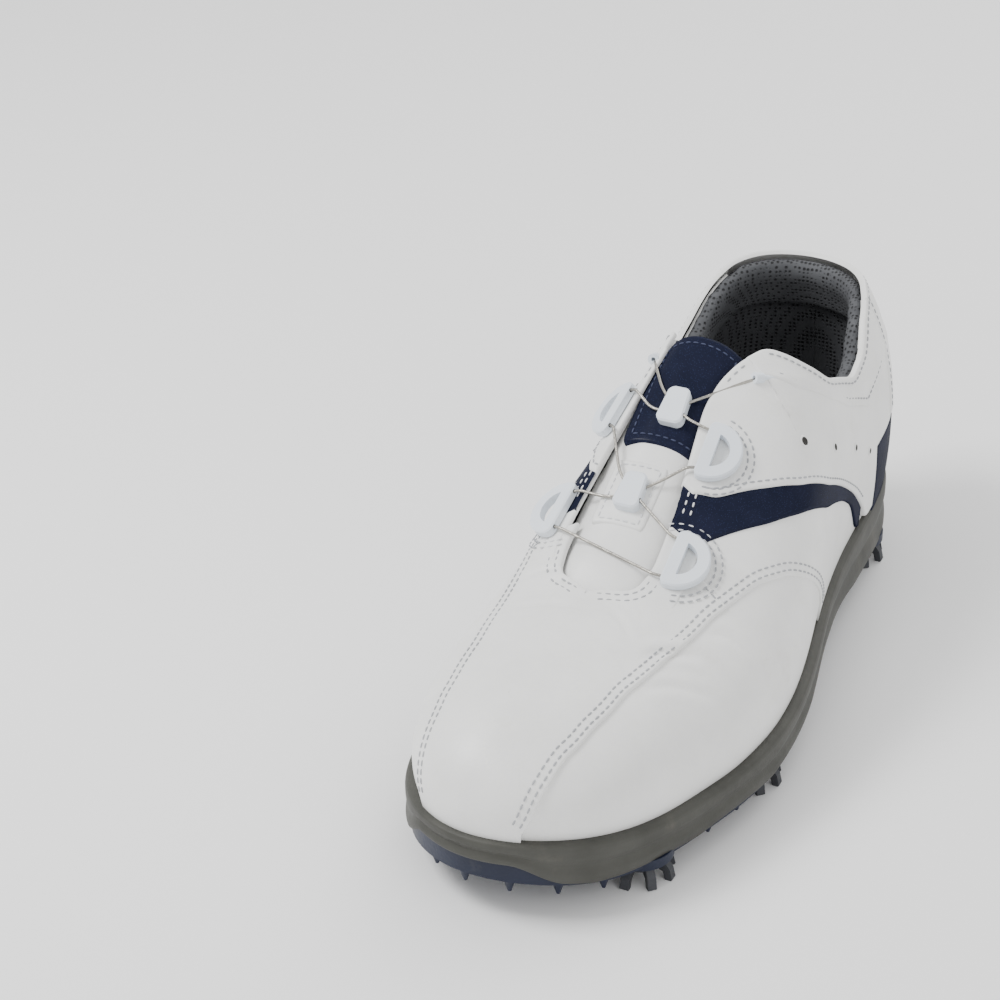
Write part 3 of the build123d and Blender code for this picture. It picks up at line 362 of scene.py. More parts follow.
def surface(name, colour, second, roughness, grain=(), patchy=60.0, coat=0.0, metal=0.0, wear=0.0,
            weave=0.0, painted_glints=0.0, coat_roughness=0.1, specular=0.5):
    """A material with mottled colour, layers of grain as (cells per metre, height in mm), wear, weave with
    painted shade in its holes, and painted glints.
    """
    made = bpy.data.materials.new(name)
    made.use_nodes = True
    tree = made.node_tree
    shader = tree.nodes["Principled BSDF"]
    where = node(tree, "ShaderNodeTexCoord").outputs["Object"]
    mottle = node(tree, "ShaderNodeTexNoise", Vector=where, Scale=patchy, Detail=5.0, Roughness=0.6)
    spread = node(tree, "ShaderNodeMapRange", Value=mottle.outputs["Fac"], From_Min=0.35, From_Max=0.7)
    shade = blended(tree, spread.outputs["Result"], (*colour, 1), (*second, 1))
    if wear:
        scuff = node(tree, "ShaderNodeTexNoise", Vector=where, Scale=34.0, Detail=9.0, Roughness=0.72)
        worn = node(tree, "ShaderNodeMapRange", Value=scuff.outputs["Fac"], From_Min=0.57, From_Max=0.78,
                    To_Max=wear)
        shade = blended(tree, worn.outputs["Result"], shade, SCUFF)
    # painted glints: light blue specks mixed into the colour stand for the glossy coat's glints off its
    # pebbles
    if painted_glints:
        glint_cells = node(tree, "ShaderNodeTexVoronoi", Vector=where, Scale=1900.0)
        glint_share = node(tree, "ShaderNodeMapRange", Value=glint_cells.outputs["Distance"], From_Min=0.22, From_Max=0.12,
                   To_Max=painted_glints)
        shade = blended(tree, glint_share.outputs["Result"], shade, PAINTED_GLINT)
    normal = None
    for cells, height in grain:
        pebbles = node(tree, "ShaderNodeTexVoronoi", Vector=where, Scale=cells, feature="SMOOTH_F1")
        normal = bumped(tree, normal, pebbles.outputs["Distance"], height * MM)
    # the weave: its holes are bumped down and darkened to near black with painted shade
    if weave:
        cell = node(tree, "ShaderNodeTexVoronoi", Vector=where, Scale=weave, Randomness=0.18)
        holes = node(tree, "ShaderNodeMapRange", Value=cell.outputs["Distance"], From_Min=0.18, From_Max=0.42)
        shade = blended(tree, holes.outputs["Result"], WEAVE_HOLE_SHADE, shade)
        normal = bumped(tree, normal, holes.outputs["Result"], 0.5 * MM)
    fine = node(tree, "ShaderNodeTexNoise", Vector=where, Scale=1500.0, Detail=4.0)
    normal = bumped(tree, normal, fine.outputs["Fac"], 0.05 * MM, strength=0.5)
    dull = node(tree, "ShaderNodeMapRange", Value=mottle.outputs["Fac"], To_Min=roughness - 0.07,
                To_Max=roughness + 0.09)
    tree.links.new(shade, shader.inputs["Base Color"])
    tree.links.new(dull.outputs["Result"], shader.inputs["Roughness"])
    tree.links.new(normal, shader.inputs["Normal"])
    shader.inputs["Metallic"].default_value = metal
    shader.inputs["Coat Weight"].default_value = coat
    shader.inputs["Coat Roughness"].default_value = coat_roughness
    shader.inputs["Specular IOR Level"].default_value = specular
    return made


WHITE = surface("white_leather", (0.86, 0.86, 0.845), (0.80, 0.80, 0.785), 0.40,
                grain=[(900, 0.05), (2600, 0.02)], wear=0.22)
# the navy patent carries painted glints, light blue specks in its colour
NAVY = surface("navy_patent", (0.009, 0.011, 0.024), (0.013, 0.015, 0.033), 0.36, grain=[(1300, 0.07)],
               coat=0.12, coat_roughness=0.2, painted_glints=0.25, specular=0.0)
# mesh lining: the holes of its weave carry painted shade
MESH = surface("mesh_lining", (0.085, 0.088, 0.095), (0.06, 0.062, 0.068), 0.85, weave=620.0)
STIFF = surface("stiffener", (0.55, 0.53, 0.48), (0.45, 0.43, 0.39), 0.8, grain=[(1200, 0.05)])
GREY = surface("grey_sole", (0.062, 0.062, 0.054), (0.046, 0.046, 0.040), 0.55,
               grain=[(420, 0.05), (1700, 0.03)], wear=0.10, specular=0.3)
SOLE_NAVY = surface("navy_sole", (0.008, 0.012, 0.030), (0.013, 0.018, 0.04), 0.42, grain=[(900, 0.05)],
                    wear=0.10, specular=0.3)
CLEAT = surface("cleat_rubber", (0.05, 0.053, 0.06), (0.035, 0.037, 0.043), 0.5, grain=[(1400, 0.04)],
                wear=0.25, specular=0.3)
GUIDE = surface("guide_plastic", (0.78, 0.83, 0.89), (0.74, 0.79, 0.85), 0.3, grain=[(700, 0.02)])
STEEL = surface("steel_cable", (0.42, 0.40, 0.36), (0.30, 0.29, 0.27), 0.35, grain=[(2600, 0.12)], metal=1.0)
THREAD = surface("grey_thread", (0.42, 0.43, 0.45), (0.33, 0.34, 0.36), 0.7, grain=[(3000, 0.08)])
PALE_THREAD = surface("white_thread", (0.78, 0.79, 0.80), (0.66, 0.67, 0.69), 0.7, grain=[(3000, 0.08)])
NAVY_THREAD = surface("navy_thread", (0.035, 0.045, 0.10), (0.025, 0.032, 0.07), 0.7, grain=[(3000, 0.08)])
# middle of each vent: the dark lining seen through the hole, made darker with painted shade
VENT_SHADE = surface("vent_painted_shade", (0.02, 0.018, 0.016), (0.03, 0.028, 0.025), 0.8, grain=[(1500, 0.05)])
DIAL = surface("dial_body", (0.62, 0.63, 0.64), (0.56, 0.57, 0.58), 0.38, grain=[(700, 0.02)])
KNOB = surface("knob_rubber", (0.03, 0.033, 0.04), (0.045, 0.048, 0.055), 0.6, grain=[(1300, 0.05)])
# insole cloth: the holes of its weave carry painted shade
FOAM = surface("insole_cloth", (0.10, 0.10, 0.11), (0.075, 0.077, 0.085), 0.9, weave=700.0)

KEPT = {"outsole": SOLE_NAVY, "shank_plate": GREY, "lasting_board": STIFF, "heel_counter": STIFF,
        "toe_puff": STIFF, "vamp_lining": MESH, "toe_lining_lateral": MESH, "toe_lining_medial": MESH,
        "cleat_receptacles": GREY, "tunnel_mouths": GUIDE, "lace_tube_lateral": GUIDE,
        "lace_tube_medial": GUIDE, "lace": STEEL, "dial_base": DIAL, "dial_housing": DIAL,
        "detent_ring": GREY, "spool": GREY, "knob_core": DIAL, "knob_cap": DIAL, "knob_grip": KNOB}
for cleat in ("lateral_front", "medial_front", "lateral_ball", "medial_ball", "toe", "lateral_heel",
              "medial_heel"):
    KEPT["cleat_" + cleat] = CLEAT
for guide in ("lace_guide_lateral_lower", "lace_guide_lateral_upper", "lace_guide_medial_upper",
              "lace_guide_medial_lower", "tongue_guide_upper", "tongue_guide_lower"):
    KEPT[guide] = GUIDE
for kept, look in KEPT.items():
    for place in bpy.data.objects[kept].material_slots:
        place.material = look

# ---- the upper's leather ---------------------------------------------------------------------
# each layer's inner and outer depth, in mm from the skin
WING = (0.9, 2.7)
STRIPE = (0.2, 1.7)
EYESTAY = (0.2, 1.5)
VAMP = (-0.7, 1.1)
QUARTER = (-0.8, 0.7)
TOE_SIDE = (-1.5, -0.3)
BAND = (0.7, 3.1)
HEEL_PANEL = (0.6, 3.4)
HEEL_PATCH = (0.6, 2.9)
INNER_WALL = (-2.4, -4.4)
VAMP_END = 0.372
UNDER = -0.02                    # how far below the feather line the lower edges tuck into the sole
VAMP_TOP = [(0.0, 1.0), (0.287, 1.0), (0.292, 0.975), (0.297, 0.93), (0.303, 0.885), (0.315, 0.83),
            (0.345, 0.80), (0.40, 0.80)]
TUBE_PATH = [(0.563, 0.70), (0.60, 0.61), (0.635, 0.52), (0.68, 0.41), (0.73, 0.35), (0.79, 0.33),
             (0.85, 0.345), (0.90, 0.35), (0.97, 0.345)]
# creases across the vamp: x, y of both ends, depth in mm
CREASES = [(-33, -76, -4, -66, 0.55), (-4, -66, 14, -74, 0.5), (-26, -62, -2, -57, 0.35),
           (17, -82, 31, -64, 0.5), (22, -92, 40, -72, 0.4), (30, -58, 44, -50, 0.45),
           (-36, -60, -22, -52, 0.45), (6, -84, 20, -90, 0.3)]


def creased(t, v, flat):
    """Small folds where the vamp bends, as a change of depth in mm."""
    ripple = np.sin(flat[..., 1] * 0.19 + flat[..., 0] * 0.07)
    change = 0.12 * ripple * np.exp(-((flat[..., 1] + 72) / 22)**2)
    for x0, y0, x1, y1, deep in CREASES:
        run = np.array([x1 - x0, y1 - y0], float)
        length = np.hypot(*run)
        along = ((flat[..., 0] - x0) * run[0] + (flat[..., 1] - y0) * run[1]) / length**2
        off = ((flat[..., 0] - x0) * run[1] - (flat[..., 1] - y0) * run[0]) / length
        off = off + 1.2 * np.sin(along * 5.0)
        fade = np.clip(along * 4, 0, 1) * np.clip((1 - along) * 4, 0, 1)
        banks = 0.8 * np.exp(-((np.abs(off) - 3.0) / 1.9)**2)
        change = change + fade * deep * (banks - np.exp(-(off / 1.4)**2))
    return change


def over_tube(t, v, flat):
    """The ridge that the lace's tube raises in the leather, as a change of depth in mm."""
    stops = np.linspace(TUBE_PATH[0][0], TUBE_PATH[-1][0], 60)
    path_v = np.interp(stops, *zip(*TUBE_PATH))
    side = np.where(t.mean() > 0, 1.0, -1.0)
    path = skin(side * stops, path_v, 0.0)
    gap = np.linalg.norm(flat[:, :, None, :] - path[None, None, :, :], axis=-1).min(axis=-1)
    return 1.7 * np.exp(-(np.maximum(gap - 1.4, 0) / 1.5)**2)


def ridge_on_wing(t, v, flat):
    """The tube's ridge as the thicker pieces over it show it."""
    return 0.55 * over_tube(t, v, flat)


def level(value):
    """An edge that stays at one v."""
    return lambda t: np.full(np.shape(t), float(value))


class Patch:
    """A leather piece between two edges of the upper, with rolled borders.

    Its stations follow the longer edge. A border named in open_ends isn't rolled, nor is the high one
    where it meets its twin over the spine. A patch like another takes its stations, mirrored.
    """

    def __init__(self, first, last, low, high, inner, outer, lip=1.3, open_ends=(), relief=None, pitch=1.7,
                 meets=None, sink_first=0.0, like=None):
        if like is None:
            fine = np.linspace(first, last, 700)
            walk = 0.5 * (arc_lengths(skin(fine, low(fine)), 0) + arc_lengths(skin(fine, high(fine)), 0))
            walk = walk + 0.02 * np.arange(700)
            ts = np.interp(eased(int(walk[-1] / pitch), walk[-1], lip) * walk[-1], walk, fine)
            middle = np.interp(0.5 * walk[-1], walk, fine)
            tall = arc_lengths(skin(np.full(40, middle), np.linspace(low(middle), high(middle), 40)), 0)[-1]
            share = eased(int(max(tall, 8) / pitch), max(tall, 8), lip)
        else:
            ts, share = -like.stations, like.share
        self.stations, self.share = ts, share
        self.t = np.repeat(ts[:, None], len(share), 1)
        self.v = low(ts)[:, None] + (high(ts) - low(ts))[:, None] * share
        flat = skin(self.t, self.v, outer)
        along, up = arc_lengths(flat, 0), arc_lengths(flat, 1)
        gaps = {"first": along, "last": along[-1:] - along, "low": up, "high": up[:, -1:] - up}
        if meets is not None:
            gaps["high"] = gaps["high"] + np.where(meets(ts), 100, 0)[:, None]
        near = np.minimum.reduce([gaps[k] for k in gaps if k not in open_ends])
        roll = np.clip(near / lip, 0, 1)
        self.depth = inner + (outer - inner) * np.sqrt(1 - (1 - roll)**2)
        if relief is not None:
            self.depth = self.depth + relief(self.t, self.v, flat) * roll
        if sink_first:
            self.depth = self.depth - sink_first * np.clip(1 - along / 9.0, 0, 1)**2
        self.points = skin(self.t, self.v, self.depth)

    def mesh(self):
        """Points and faces."""
        rows, columns = self.t.shape
        return self.points.reshape(-1, 3), grid_faces(rows, columns)


def seam(t):
    """The seam between the toe's side panel and the panels above it."""
    return np.maximum(soft_edge(SIDE_SEAM, t), UNDER + 0.004)


def vamp_low(t):
    return np.where(np.abs(t) < 0.057, UNDER, seam(t))


def toe_side_top(t):
    """The toe's side panel runs a little under the vamp and the quarter."""
    return seam(t) + 0.03


def quarter_low(t):
    return np.where(np.abs(t) < 0.569, seam(t), UNDER)


def vamp_top(t):
    return soft_edge(VAMP_TOP, t)


def stripe_low(t):
    return np.maximum(soft_edge(STRIPE_LOW, t), UNDER)


def stripe_high(t):
    lap = soft_edge(WING_LOW, t) + 0.05
    return np.where(np.abs(t) < 0.428, throat(t) - 0.006, np.minimum(throat(t) - 0.006, lap))


def wing_low(t):
    return np.maximum(soft_edge(WING_LOW, t), UNDER)


def wing_high(t):
    lap = edge(COLLAR_SEAM, t)
    return np.where(np.abs(t) < 0.575, throat(t), np.minimum(lap, throat(t)))


def band_low(t):
    return edge(COLLAR_SEAM, t) - 0.012


def over_spine(t):
    return np.abs(t) < 0.287


def eyestay_high(t):
    return throat(t) - 0.004


def quarter_high(t):
    return throat(t) - 0.015


vamp_look = {"open_ends": ("first",), "relief": creased, "meets": over_spine, "pitch": 0.9}
halves = [Patch(0.0, VAMP_END, vamp_low, vamp_top, *VAMP, **vamp_look)]
halves.append(Patch(0.0, -VAMP_END, vamp_low, vamp_top, *VAMP, like=halves[0], **vamp_look))
add_patches("vamp", halves, WHITE, ["vamp_panel"])

for side, side_name in SIDES:
    toe_side = Patch(side * 0.052, side * 0.575, level(UNDER), toe_side_top, *TOE_SIDE,
                     open_ends=("low", "high"), relief=creased, pitch=1.2)
    quarter = Patch(side * 0.35, side * 0.86, quarter_low, quarter_high, *QUARTER, relief=creased)
    eyestay = Patch(side * 0.312, side * 0.392, level(0.66), eyestay_high, *EYESTAY, sink_first=1.2,
                    open_ends=("first",), pitch=1.0)
    stripe = Patch(side * 0.386, side * 0.75, stripe_low, stripe_high, *STRIPE, open_ends=("high",),
                   pitch=1.4)
    wing = Patch(side * 0.4255, side * 0.862, wing_low, wing_high, *WING, relief=ridge_on_wing, pitch=1.4,
                 lip=1.6)
    band = Patch(side * 0.571, side * 0.862, band_low, throat, *BAND, relief=ridge_on_wing, pitch=1.4)
    for name, patch, look, slot, node_name in (
            ("toe_side_" + side_name, toe_side, WHITE, "white_leather", "toe_side_panel_"),
            ("quarter_" + side_name, quarter, WHITE, "white_leather", "quarter_panel_"),
            ("eyestay_" + side_name + "_top", eyestay, WHITE, "white_leather", "eyestay_"),
            ("stripe_" + side_name, stripe, NAVY, "navy_leather", "saddle_stripe_"),
            ("wing_" + side_name + "_top", wing, WHITE, "white_leather", "wing_"),
            ("collar_band_" + side_name + "_top", band, WHITE, "white_leather", "collar_band_")):
        add_patches(name, [patch], look, [node_name + side_name])

for name, end, low, high, layer, open_ends, look, slot, node_name in (
        ("heel_piece", 0.846, level(0.152), throat, HEEL_PANEL, ("first",), WHITE, "white_leather",
         "heel_panel"),
        ("heel_patch_top", 0.785, level(UNDER), level(0.15), HEEL_PATCH, ("first", "low"), NAVY,
         "navy_leather", "heel_patch")):
    lateral = Patch(1.0, end, low, high, *layer, open_ends=open_ends, relief=ridge_on_wing, pitch=1.4)
    medial = Patch(-1.0, -end, low, high, *layer, open_ends=open_ends, relief=ridge_on_wing, like=lateral)
    add_patches(name, [lateral, medial], look, [node_name])


# ---- padded pieces ---------------------------------------------------------------------------
def closed_pad(name, t, v, near, outer, inner, lip, material, slot):
    """A pad between two depths over a grid of (t, v), rounded where near (mm from its border) is small."""
    roll = np.sqrt(1 - (1 - np.clip(near / lip, 0, 1))**2)
    middle, half = 0.5 * (outer + inner), 0.5 * (outer - inner) * roll
    rows, columns = t.shape
    front, back = skin(t, v, middle + half), skin(t, v, middle - half)
    faces = grid_faces(rows, columns)
    points = np.concatenate([front.reshape(-1, 3), back.reshape(-1, 3)])
    piece = add_mesh(name, points, np.concatenate([faces, faces[:, ::-1] + rows * columns]), material)
    return weld(piece)


PUFF_PRESSURE = 3.5
PUFF_FRAMES = 20


def puff(piece, voxel, reach):
    """Inflates a closed pad by a cloth simulation, up to reach, applies it to its mesh and smooths it."""
    bpy.context.view_layer.update()
    work = bpy.data.objects.new(piece.name + "_work", piece.data.copy())
    bpy.context.scene.collection.objects.link(work)
    bpy.context.view_layer.objects.active = work
    for other in bpy.context.selected_objects:
        other.select_set(False)
    work.select_set(True)
    remesh = work.modifiers.new("even", "REMESH")
    remesh.mode = "VOXEL"
    remesh.voxel_size = voxel
    bpy.ops.object.modifier_apply(modifier="even")
    start = np.array([p.co for p in work.data.vertices])
    cloth = work.modifiers.new("puff", "CLOTH")
    cloth.settings.quality = 5
    cloth.settings.mass = 0.3
    cloth.settings.tension_stiffness = 22
    cloth.settings.compression_stiffness = 22
    cloth.settings.shear_stiffness = 8
    cloth.settings.bending_stiffness = 0.6
    cloth.settings.use_pressure = True
    cloth.settings.uniform_pressure_force = PUFF_PRESSURE
    cloth.settings.effector_weights.gravity = 0
    cloth.collision_settings.use_collision = False
    scene = bpy.context.scene
    for at in range(1, PUFF_FRAMES + 1):
        scene.frame_set(at)
    bpy.ops.object.modifier_apply(modifier="puff")
    end = np.array([p.co for p in work.data.vertices])
    moved = end - start
    far = np.linalg.norm(moved, axis=1, keepdims=True)
    end = start + moved * np.minimum(1, reach / np.maximum(far, 1e-9))
    work.data.vertices.foreach_set("co", end.ravel())
    scene.frame_set(1)
    smooth = work.modifiers.new("ease", "SUBSURF")
    smooth.levels = smooth.render_levels = 1
    bpy.ops.object.modifier_apply(modifier="ease")
    piece.data = work.data
    bpy.data.objects.remove(work)
    piece.data.polygons.foreach_set("use_smooth", [True] * len(piece.data.polygons))


# the tongue: outer depth follows the crown, borders are round
TONGUE_FIRST, TONGUE_LAST, TONGUE_SIDE = 0.262, 0.557, 0.655
TONGUE_DEPTHS = (-4.9, -9.8)
CROWN_HEIGHT = 4.2
CROWN_START, CROWN_RUN = -62, 14
CROWN_MEDIAL, CROWN_LATERAL = 17.0, 14.0
COVER_SINK = 0.7


def tongue_crown(points):
    """How much the tongue's middle swells up through the throat, in mm."""
    y = points[..., 1]
    middle = read(SPINE_X, y - LAST_SHIFT[1]) + LAST_SHIFT[0]
    swell = np.clip((y - CROWN_START) / CROWN_RUN, 0, 1)
    spread = np.where(points[..., 0] < middle, CROWN_MEDIAL, CROWN_LATERAL)
    return CROWN_HEIGHT * swell * np.exp(-((points[..., 0] - middle) / spread)**4)


def tongue_grid():
    """(t, v) over the tongue from its medial border over the spine to its lateral one, and border gaps."""
    ts = np.linspace(TONGUE_FIRST, TONGUE_LAST, 64)
    climb = np.linspace(0, 1, 26)
    top = TONGUE_SIDE + (1 - TONGUE_SIDE) * climb
    t = np.concatenate([-np.repeat(ts[:, None], 26, 1), np.repeat(ts[:, None], 25, 1)], 1)
    v = np.concatenate([np.repeat(top[None], 64, 0), np.repeat(top[None, -2::-1], 64, 0)], 1)
    flat = skin(t, v, -5.0)
    along, across = arc_lengths(flat, 0), arc_lengths(flat, 1)
    near = np.minimum.reduce([along, along[-1:] - along, across, across[:, -1:] - across])
    return t, v, flat, near


tongue_t, tongue_v, tongue_flat, tongue_near = tongue_grid()
tongue = closed_pad("tongue_pad", tongue_t, tongue_v, tongue_near,
                    TONGUE_DEPTHS[0] + tongue_crown(tongue_flat), TONGUE_DEPTHS[1], 2.6, WHITE, "padding")
puff(tongue, voxel=0.0028, reach=0.0011)
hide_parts("tongue_padding", "tongue_lining")


def on_tongue(x, y):
    """Heights of the tongue's crowned face at places in plan, averaged from points spread over it."""
    ts = np.linspace(0.24, 0.60, 150)
    share = np.linspace(TONGUE_SIDE - 0.1, 1, 70)
    spread = [skin(side * np.repeat(ts, 70), np.tile(share, 150), -4.75) for side in (1, -1)]
    spread = np.concatenate(spread)
    spread[:, 2] += tongue_crown(spread)
    gap = (x.reshape(-1, 1) - spread[None, :, 0])**2 + (y.reshape(-1, 1) - spread[None, :, 1])**2
    weight = np.exp(-gap / (2 * 1.1**2)) + 1e-12
    return (weight @ spread[:, 2] / weight.sum(axis=1)).reshape(x.shape)


def tongue_cover(name, y_low, y_high, x_low, x_high, lift, material, replaced):
    """A cover lying on the tongue between two heights, its corners rounded in plan."""
    lip = 1.4
    rows, columns = 48, 36
    climb = np.linspace(y_low, y_high, rows)
    corner = np.minimum(1, np.minimum(np.arange(rows), np.arange(rows)[::-1]) / 6.0)
    half = 0.5 * (x_high - x_low) * (0.86 + 0.14 * np.sqrt(1 - (1 - corner)**2))
    x = 0.5 * (x_low + x_high) + half[:, None] * np.linspace(-1, 1, columns)[None]
    y = np.repeat(climb[:, None], columns, 1) + 0.0 * x
    points = np.stack([x, y, on_tongue(x, y)], -1)
    along, across = arc_lengths(points, 0), arc_lengths(points, 1)
    near = np.minimum.reduce([along, along[-1:] - along, across, across[:, -1:] - across])
    out = np.cross(np.gradient(points, axis=1), np.gradient(points, axis=0))
    out /= np.linalg.norm(out, axis=-1, keepdims=True)
    roll = np.sqrt(1 - (1 - np.clip(near / lip, 0, 1))**2)
    points = points + out * (lift * roll - COVER_SINK)[..., None]
    piece = add_mesh(name, points.reshape(-1, 3), grid_faces(rows, columns), material)
    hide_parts(replaced)
    return points, out


top_points, top_out = tongue_cover("tongue_top_cover", -6.5, 33.0, -22.5, 6.5, 2.3, NAVY,
                                   "tongue_top_panel")
tab_points, tab_out = tongue_cover("tongue_tab_cover", -35, -12, -21, -2, 2.2, WHITE,
                                   "tongue_tab")

# the collar: a long pad inside the topline, all round the heel
COLLAR_FROM = 0.585
COLLAR_DOWN = 0.20
COLLAR_DEPTHS = (0.2, -8.6)


def collar_grid():
    """(t, v) over the collar from the lateral side round the heel, and border gaps."""
    ts = np.concatenate([np.linspace(COLLAR_FROM, 1, 110), np.linspace(-1, -COLLAR_FROM, 110)[1:]])
    share = np.linspace(0, 1, 26)
    top = throat(ts) + 0.012
    down = np.interp(np.abs(ts), [COLLAR_FROM, 0.64], [0.10, COLLAR_DOWN])
    t = np.repeat(ts[:, None], 26, 1)
    v = (top - down)[:, None] + down[:, None] * share
    flat = skin(t, v, -4.0)
    along, up = arc_lengths(flat, 0), arc_lengths(flat, 1)
    near = np.minimum.reduce([along, along[-1:] - along, up, up[:, -1:] - up])
    return t, v, near


collar_t, collar_v, collar_near = collar_grid()
collar = closed_pad("collar_pad", collar_t, collar_v, collar_near, *COLLAR_DEPTHS, 3.6, MESH,
                    "lining_mesh")
puff(collar, voxel=0.003, reach=0.0012)
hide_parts("collar_padding", "collar_lining")

# the lining inside: two walls, which meet at the heel
def inner_wall_high(t):
    return throat(t) - np.interp(np.abs(t), [0.54, 0.60], [0.12, 0.13])


for side, side_name in SIDES:
    inner_wall = Patch(side * 0.34, side * 1.0, level(0.0), inner_wall_high, *INNER_WALL,
                       open_ends=("low", "last"))
    replaced = ["quarter_lining_" + side_name] + (["heel_lining"] if side > 0 else [])
    add_patches("inner_wall_" + side_name, [inner_wall], MESH, replaced)

# ---- the sole --------------------------------------------------------------------------------
# the midsole's side wall: share of its height from the top, and how far out it stands, in mm
WALL = [(-0.02, -9.0), (-0.02, 1.0), (0.0, 2.2), (0.04, 3.0), (0.12, 3.4), (0.30, 3.45), (0.42, 3.1),
        (0.50, 2.7), (0.54, 2.65), (0.62, 2.9), (0.74, 3.4), (0.86, 3.45), (0.95, 3.2), (1.0, 2.6),
        (1.0, -9.0)]
WALL_REACH = 3.5
SCALLOP = 0.9
FACET = 0.5


def round_sole(rows):
    """Shares t round the sole, and for each the outward direction in plan."""
    ts = np.linspace(-1, 1, rows + 1)[:-1]
    here, ahead, behind = plan(ts), plan(ts + 0.003), plan(ts - 0.003)
    way = ahead - behind
    way /= np.linalg.norm(way, axis=1, keepdims=True)
    return ts, here + np.array(LAST_SHIFT), np.stack([way[:, 1], -way[:, 0]], -1)


def sole_wall():
    """The grey wall: high and plain round the toe, wrapping down over the outsole's edge further back."""
    ts, here, out = round_sole(600)
    y = here[:, 1]
    top = read(FEATHER_HEIGHT, y) - 0.15
    wrap = np.clip((np.abs(ts) - 0.045) / 0.05, 0, 1)
    wrap = wrap * wrap * (3 - 2 * wrap)
    scallop = SCALLOP * np.abs(np.sin(ts * 26.0)) * wrap
    plain, wrapped = read(OUTSOLE_TOP, y) + 0.1, read(OUTSOLE_BOTTOM, y) + 0.7 + scallop
    bottom = (1 - wrap) * plain + wrap * wrapped
    fine = np.linspace(0, len(WALL) - 1, 90)
    share = np.interp(fine, range(len(WALL)), [w[0] for w in WALL])
    stand = np.interp(fine, range(len(WALL)), [w[1] for w in WALL])
    smooth = np.convolve(np.pad(stand, 2, mode="edge"), np.ones(5) / 5, "valid")
    stand[8:-8] = smooth[8:-8]
    facets = FACET * (np.abs((ts[:, None] * 7 + share[None] * 0.9) % 1.0 - 0.5) - 0.25) * wrap[:, None]
    facets = facets * np.sin(np.clip(share, 0, 1) * math.pi)[None]
    reach = np.minimum(stand[None] + facets, WALL_REACH)
    points = np.zeros((len(ts), len(fine), 3))
    points[..., :2] = here[:, None] + out[:, None] * reach[..., None]
    points[..., 2] = top[:, None] - share[None] * (top - bottom)[:, None]
    return points


wall = sole_wall()
midsole = add_mesh("midsole_wall", wall.reshape(-1, 3), grid_faces(len(wall), wall.shape[1], closed=True),
                   GREY)
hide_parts("midsole")


def insole_top():
    """The sock over the insole: rings from the outline in to a middle line, dished toward the middle."""
    ts, here, out = round_sole(240)
    rings = [(-5.6, 2.4), (-5.4, 5.2), (-6.0, 6.0), (-7.5, 6.2), (-11, 6.0), (-17, 5.7), (-24, 5.5)]
    points = np.array([[(*(p + o * inset), read(FEATHER_HEIGHT, p[1]) + rise) for inset, rise in rings]
                       for p, o in zip(here, out)], dtype=float)
    middle_x = LAST_SHIFT[0] + 3
    line = np.stack([np.full(len(ts), middle_x), np.clip(here[:, 1], -108, 104)], -1)
    line_z = read(FEATHER_HEIGHT, line[:, 1]) + 5.4
    last = np.concatenate([line, line_z[:, None]], -1)[:, None]
    return np.concatenate([points, last], 1)


sock = insole_top()
insole = add_mesh("insole_sock", sock.reshape(-1, 3), grid_faces(len(sock), sock.shape[1], closed=True), FOAM)
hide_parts("insole")

# ---- stitches --------------------------------------------------------------------------------
grey, pale, navy = Thread(), Thread(), Thread()


def even(t, v):
    """The same path with points a millimetre apart along it."""
    walked = arc_lengths(skin(t, v, 0.0), 0)
    at = np.linspace(0, walked[-1], max(int(walked[-1]), 4))
    return np.interp(at, walked, t), np.interp(at, walked, v)


def along_edge(first, last, of_v):
    """A path along an edge of a panel."""
    t = np.linspace(first, last, 400)
    return even(t, of_v(t))


def up_rib(t, low, high):
    """A path up the upper at one t."""
    return even(np.full(60, t), np.linspace(low, high, 60))


def around(t, v, x, y):
    """Places on the skin x mm along the shoe and y mm up the upper from (t, v)."""
    start, out, by_t, _ = frames_on_skin(t, v, 0.0)
    along = by_t[0] / np.linalg.norm(by_t[0])
    up = np.cross(out[0], along)
    wanted = start + along * x[:, None] + up * y[:, None]
    for _ in range(3):
        here, out, by_t, by_v = frames_on_skin(t, v, 0.0)
        t, v = moved_over(t, v, by_t, by_v, wanted - here)
    return t, v


# rows round the arc of each D-shaped guide: its t, v, depth and side; turns are in degrees
D_ARC_CENTRE, D_ARC_RADIUS = -2.67, 10.83
D_PLACES = ((0.360, 0.755, EYESTAY[1], 1), (0.462, 0.785, WING[1], 1), (0.500, 0.715, WING[1], -1),
            (0.388, 0.705, EYESTAY[1], -1))
for d_t, d_v, d_depth, side in D_PLACES:
    arcs = [(grey, 188, 352)] + ([(pale, 355, 392)] if d_depth == EYESTAY[1] else [])
    for thread, first_turn, last_turn in arcs:
        for gap in (1.7, 4.0):
            turn = np.radians(np.linspace(first_turn, last_turn, 60))
            reach = D_ARC_RADIUS + gap
            t, v = around(np.full(60, side * d_t), np.full(60, d_v), reach * np.cos(turn),
                          D_ARC_CENTRE + reach * np.sin(turn))
            thread.row(t, v, d_depth)


def collar_seam(t):
    return edge(COLLAR_SEAM, t)


def stripe_front(t):
    return throat(t) - 0.012


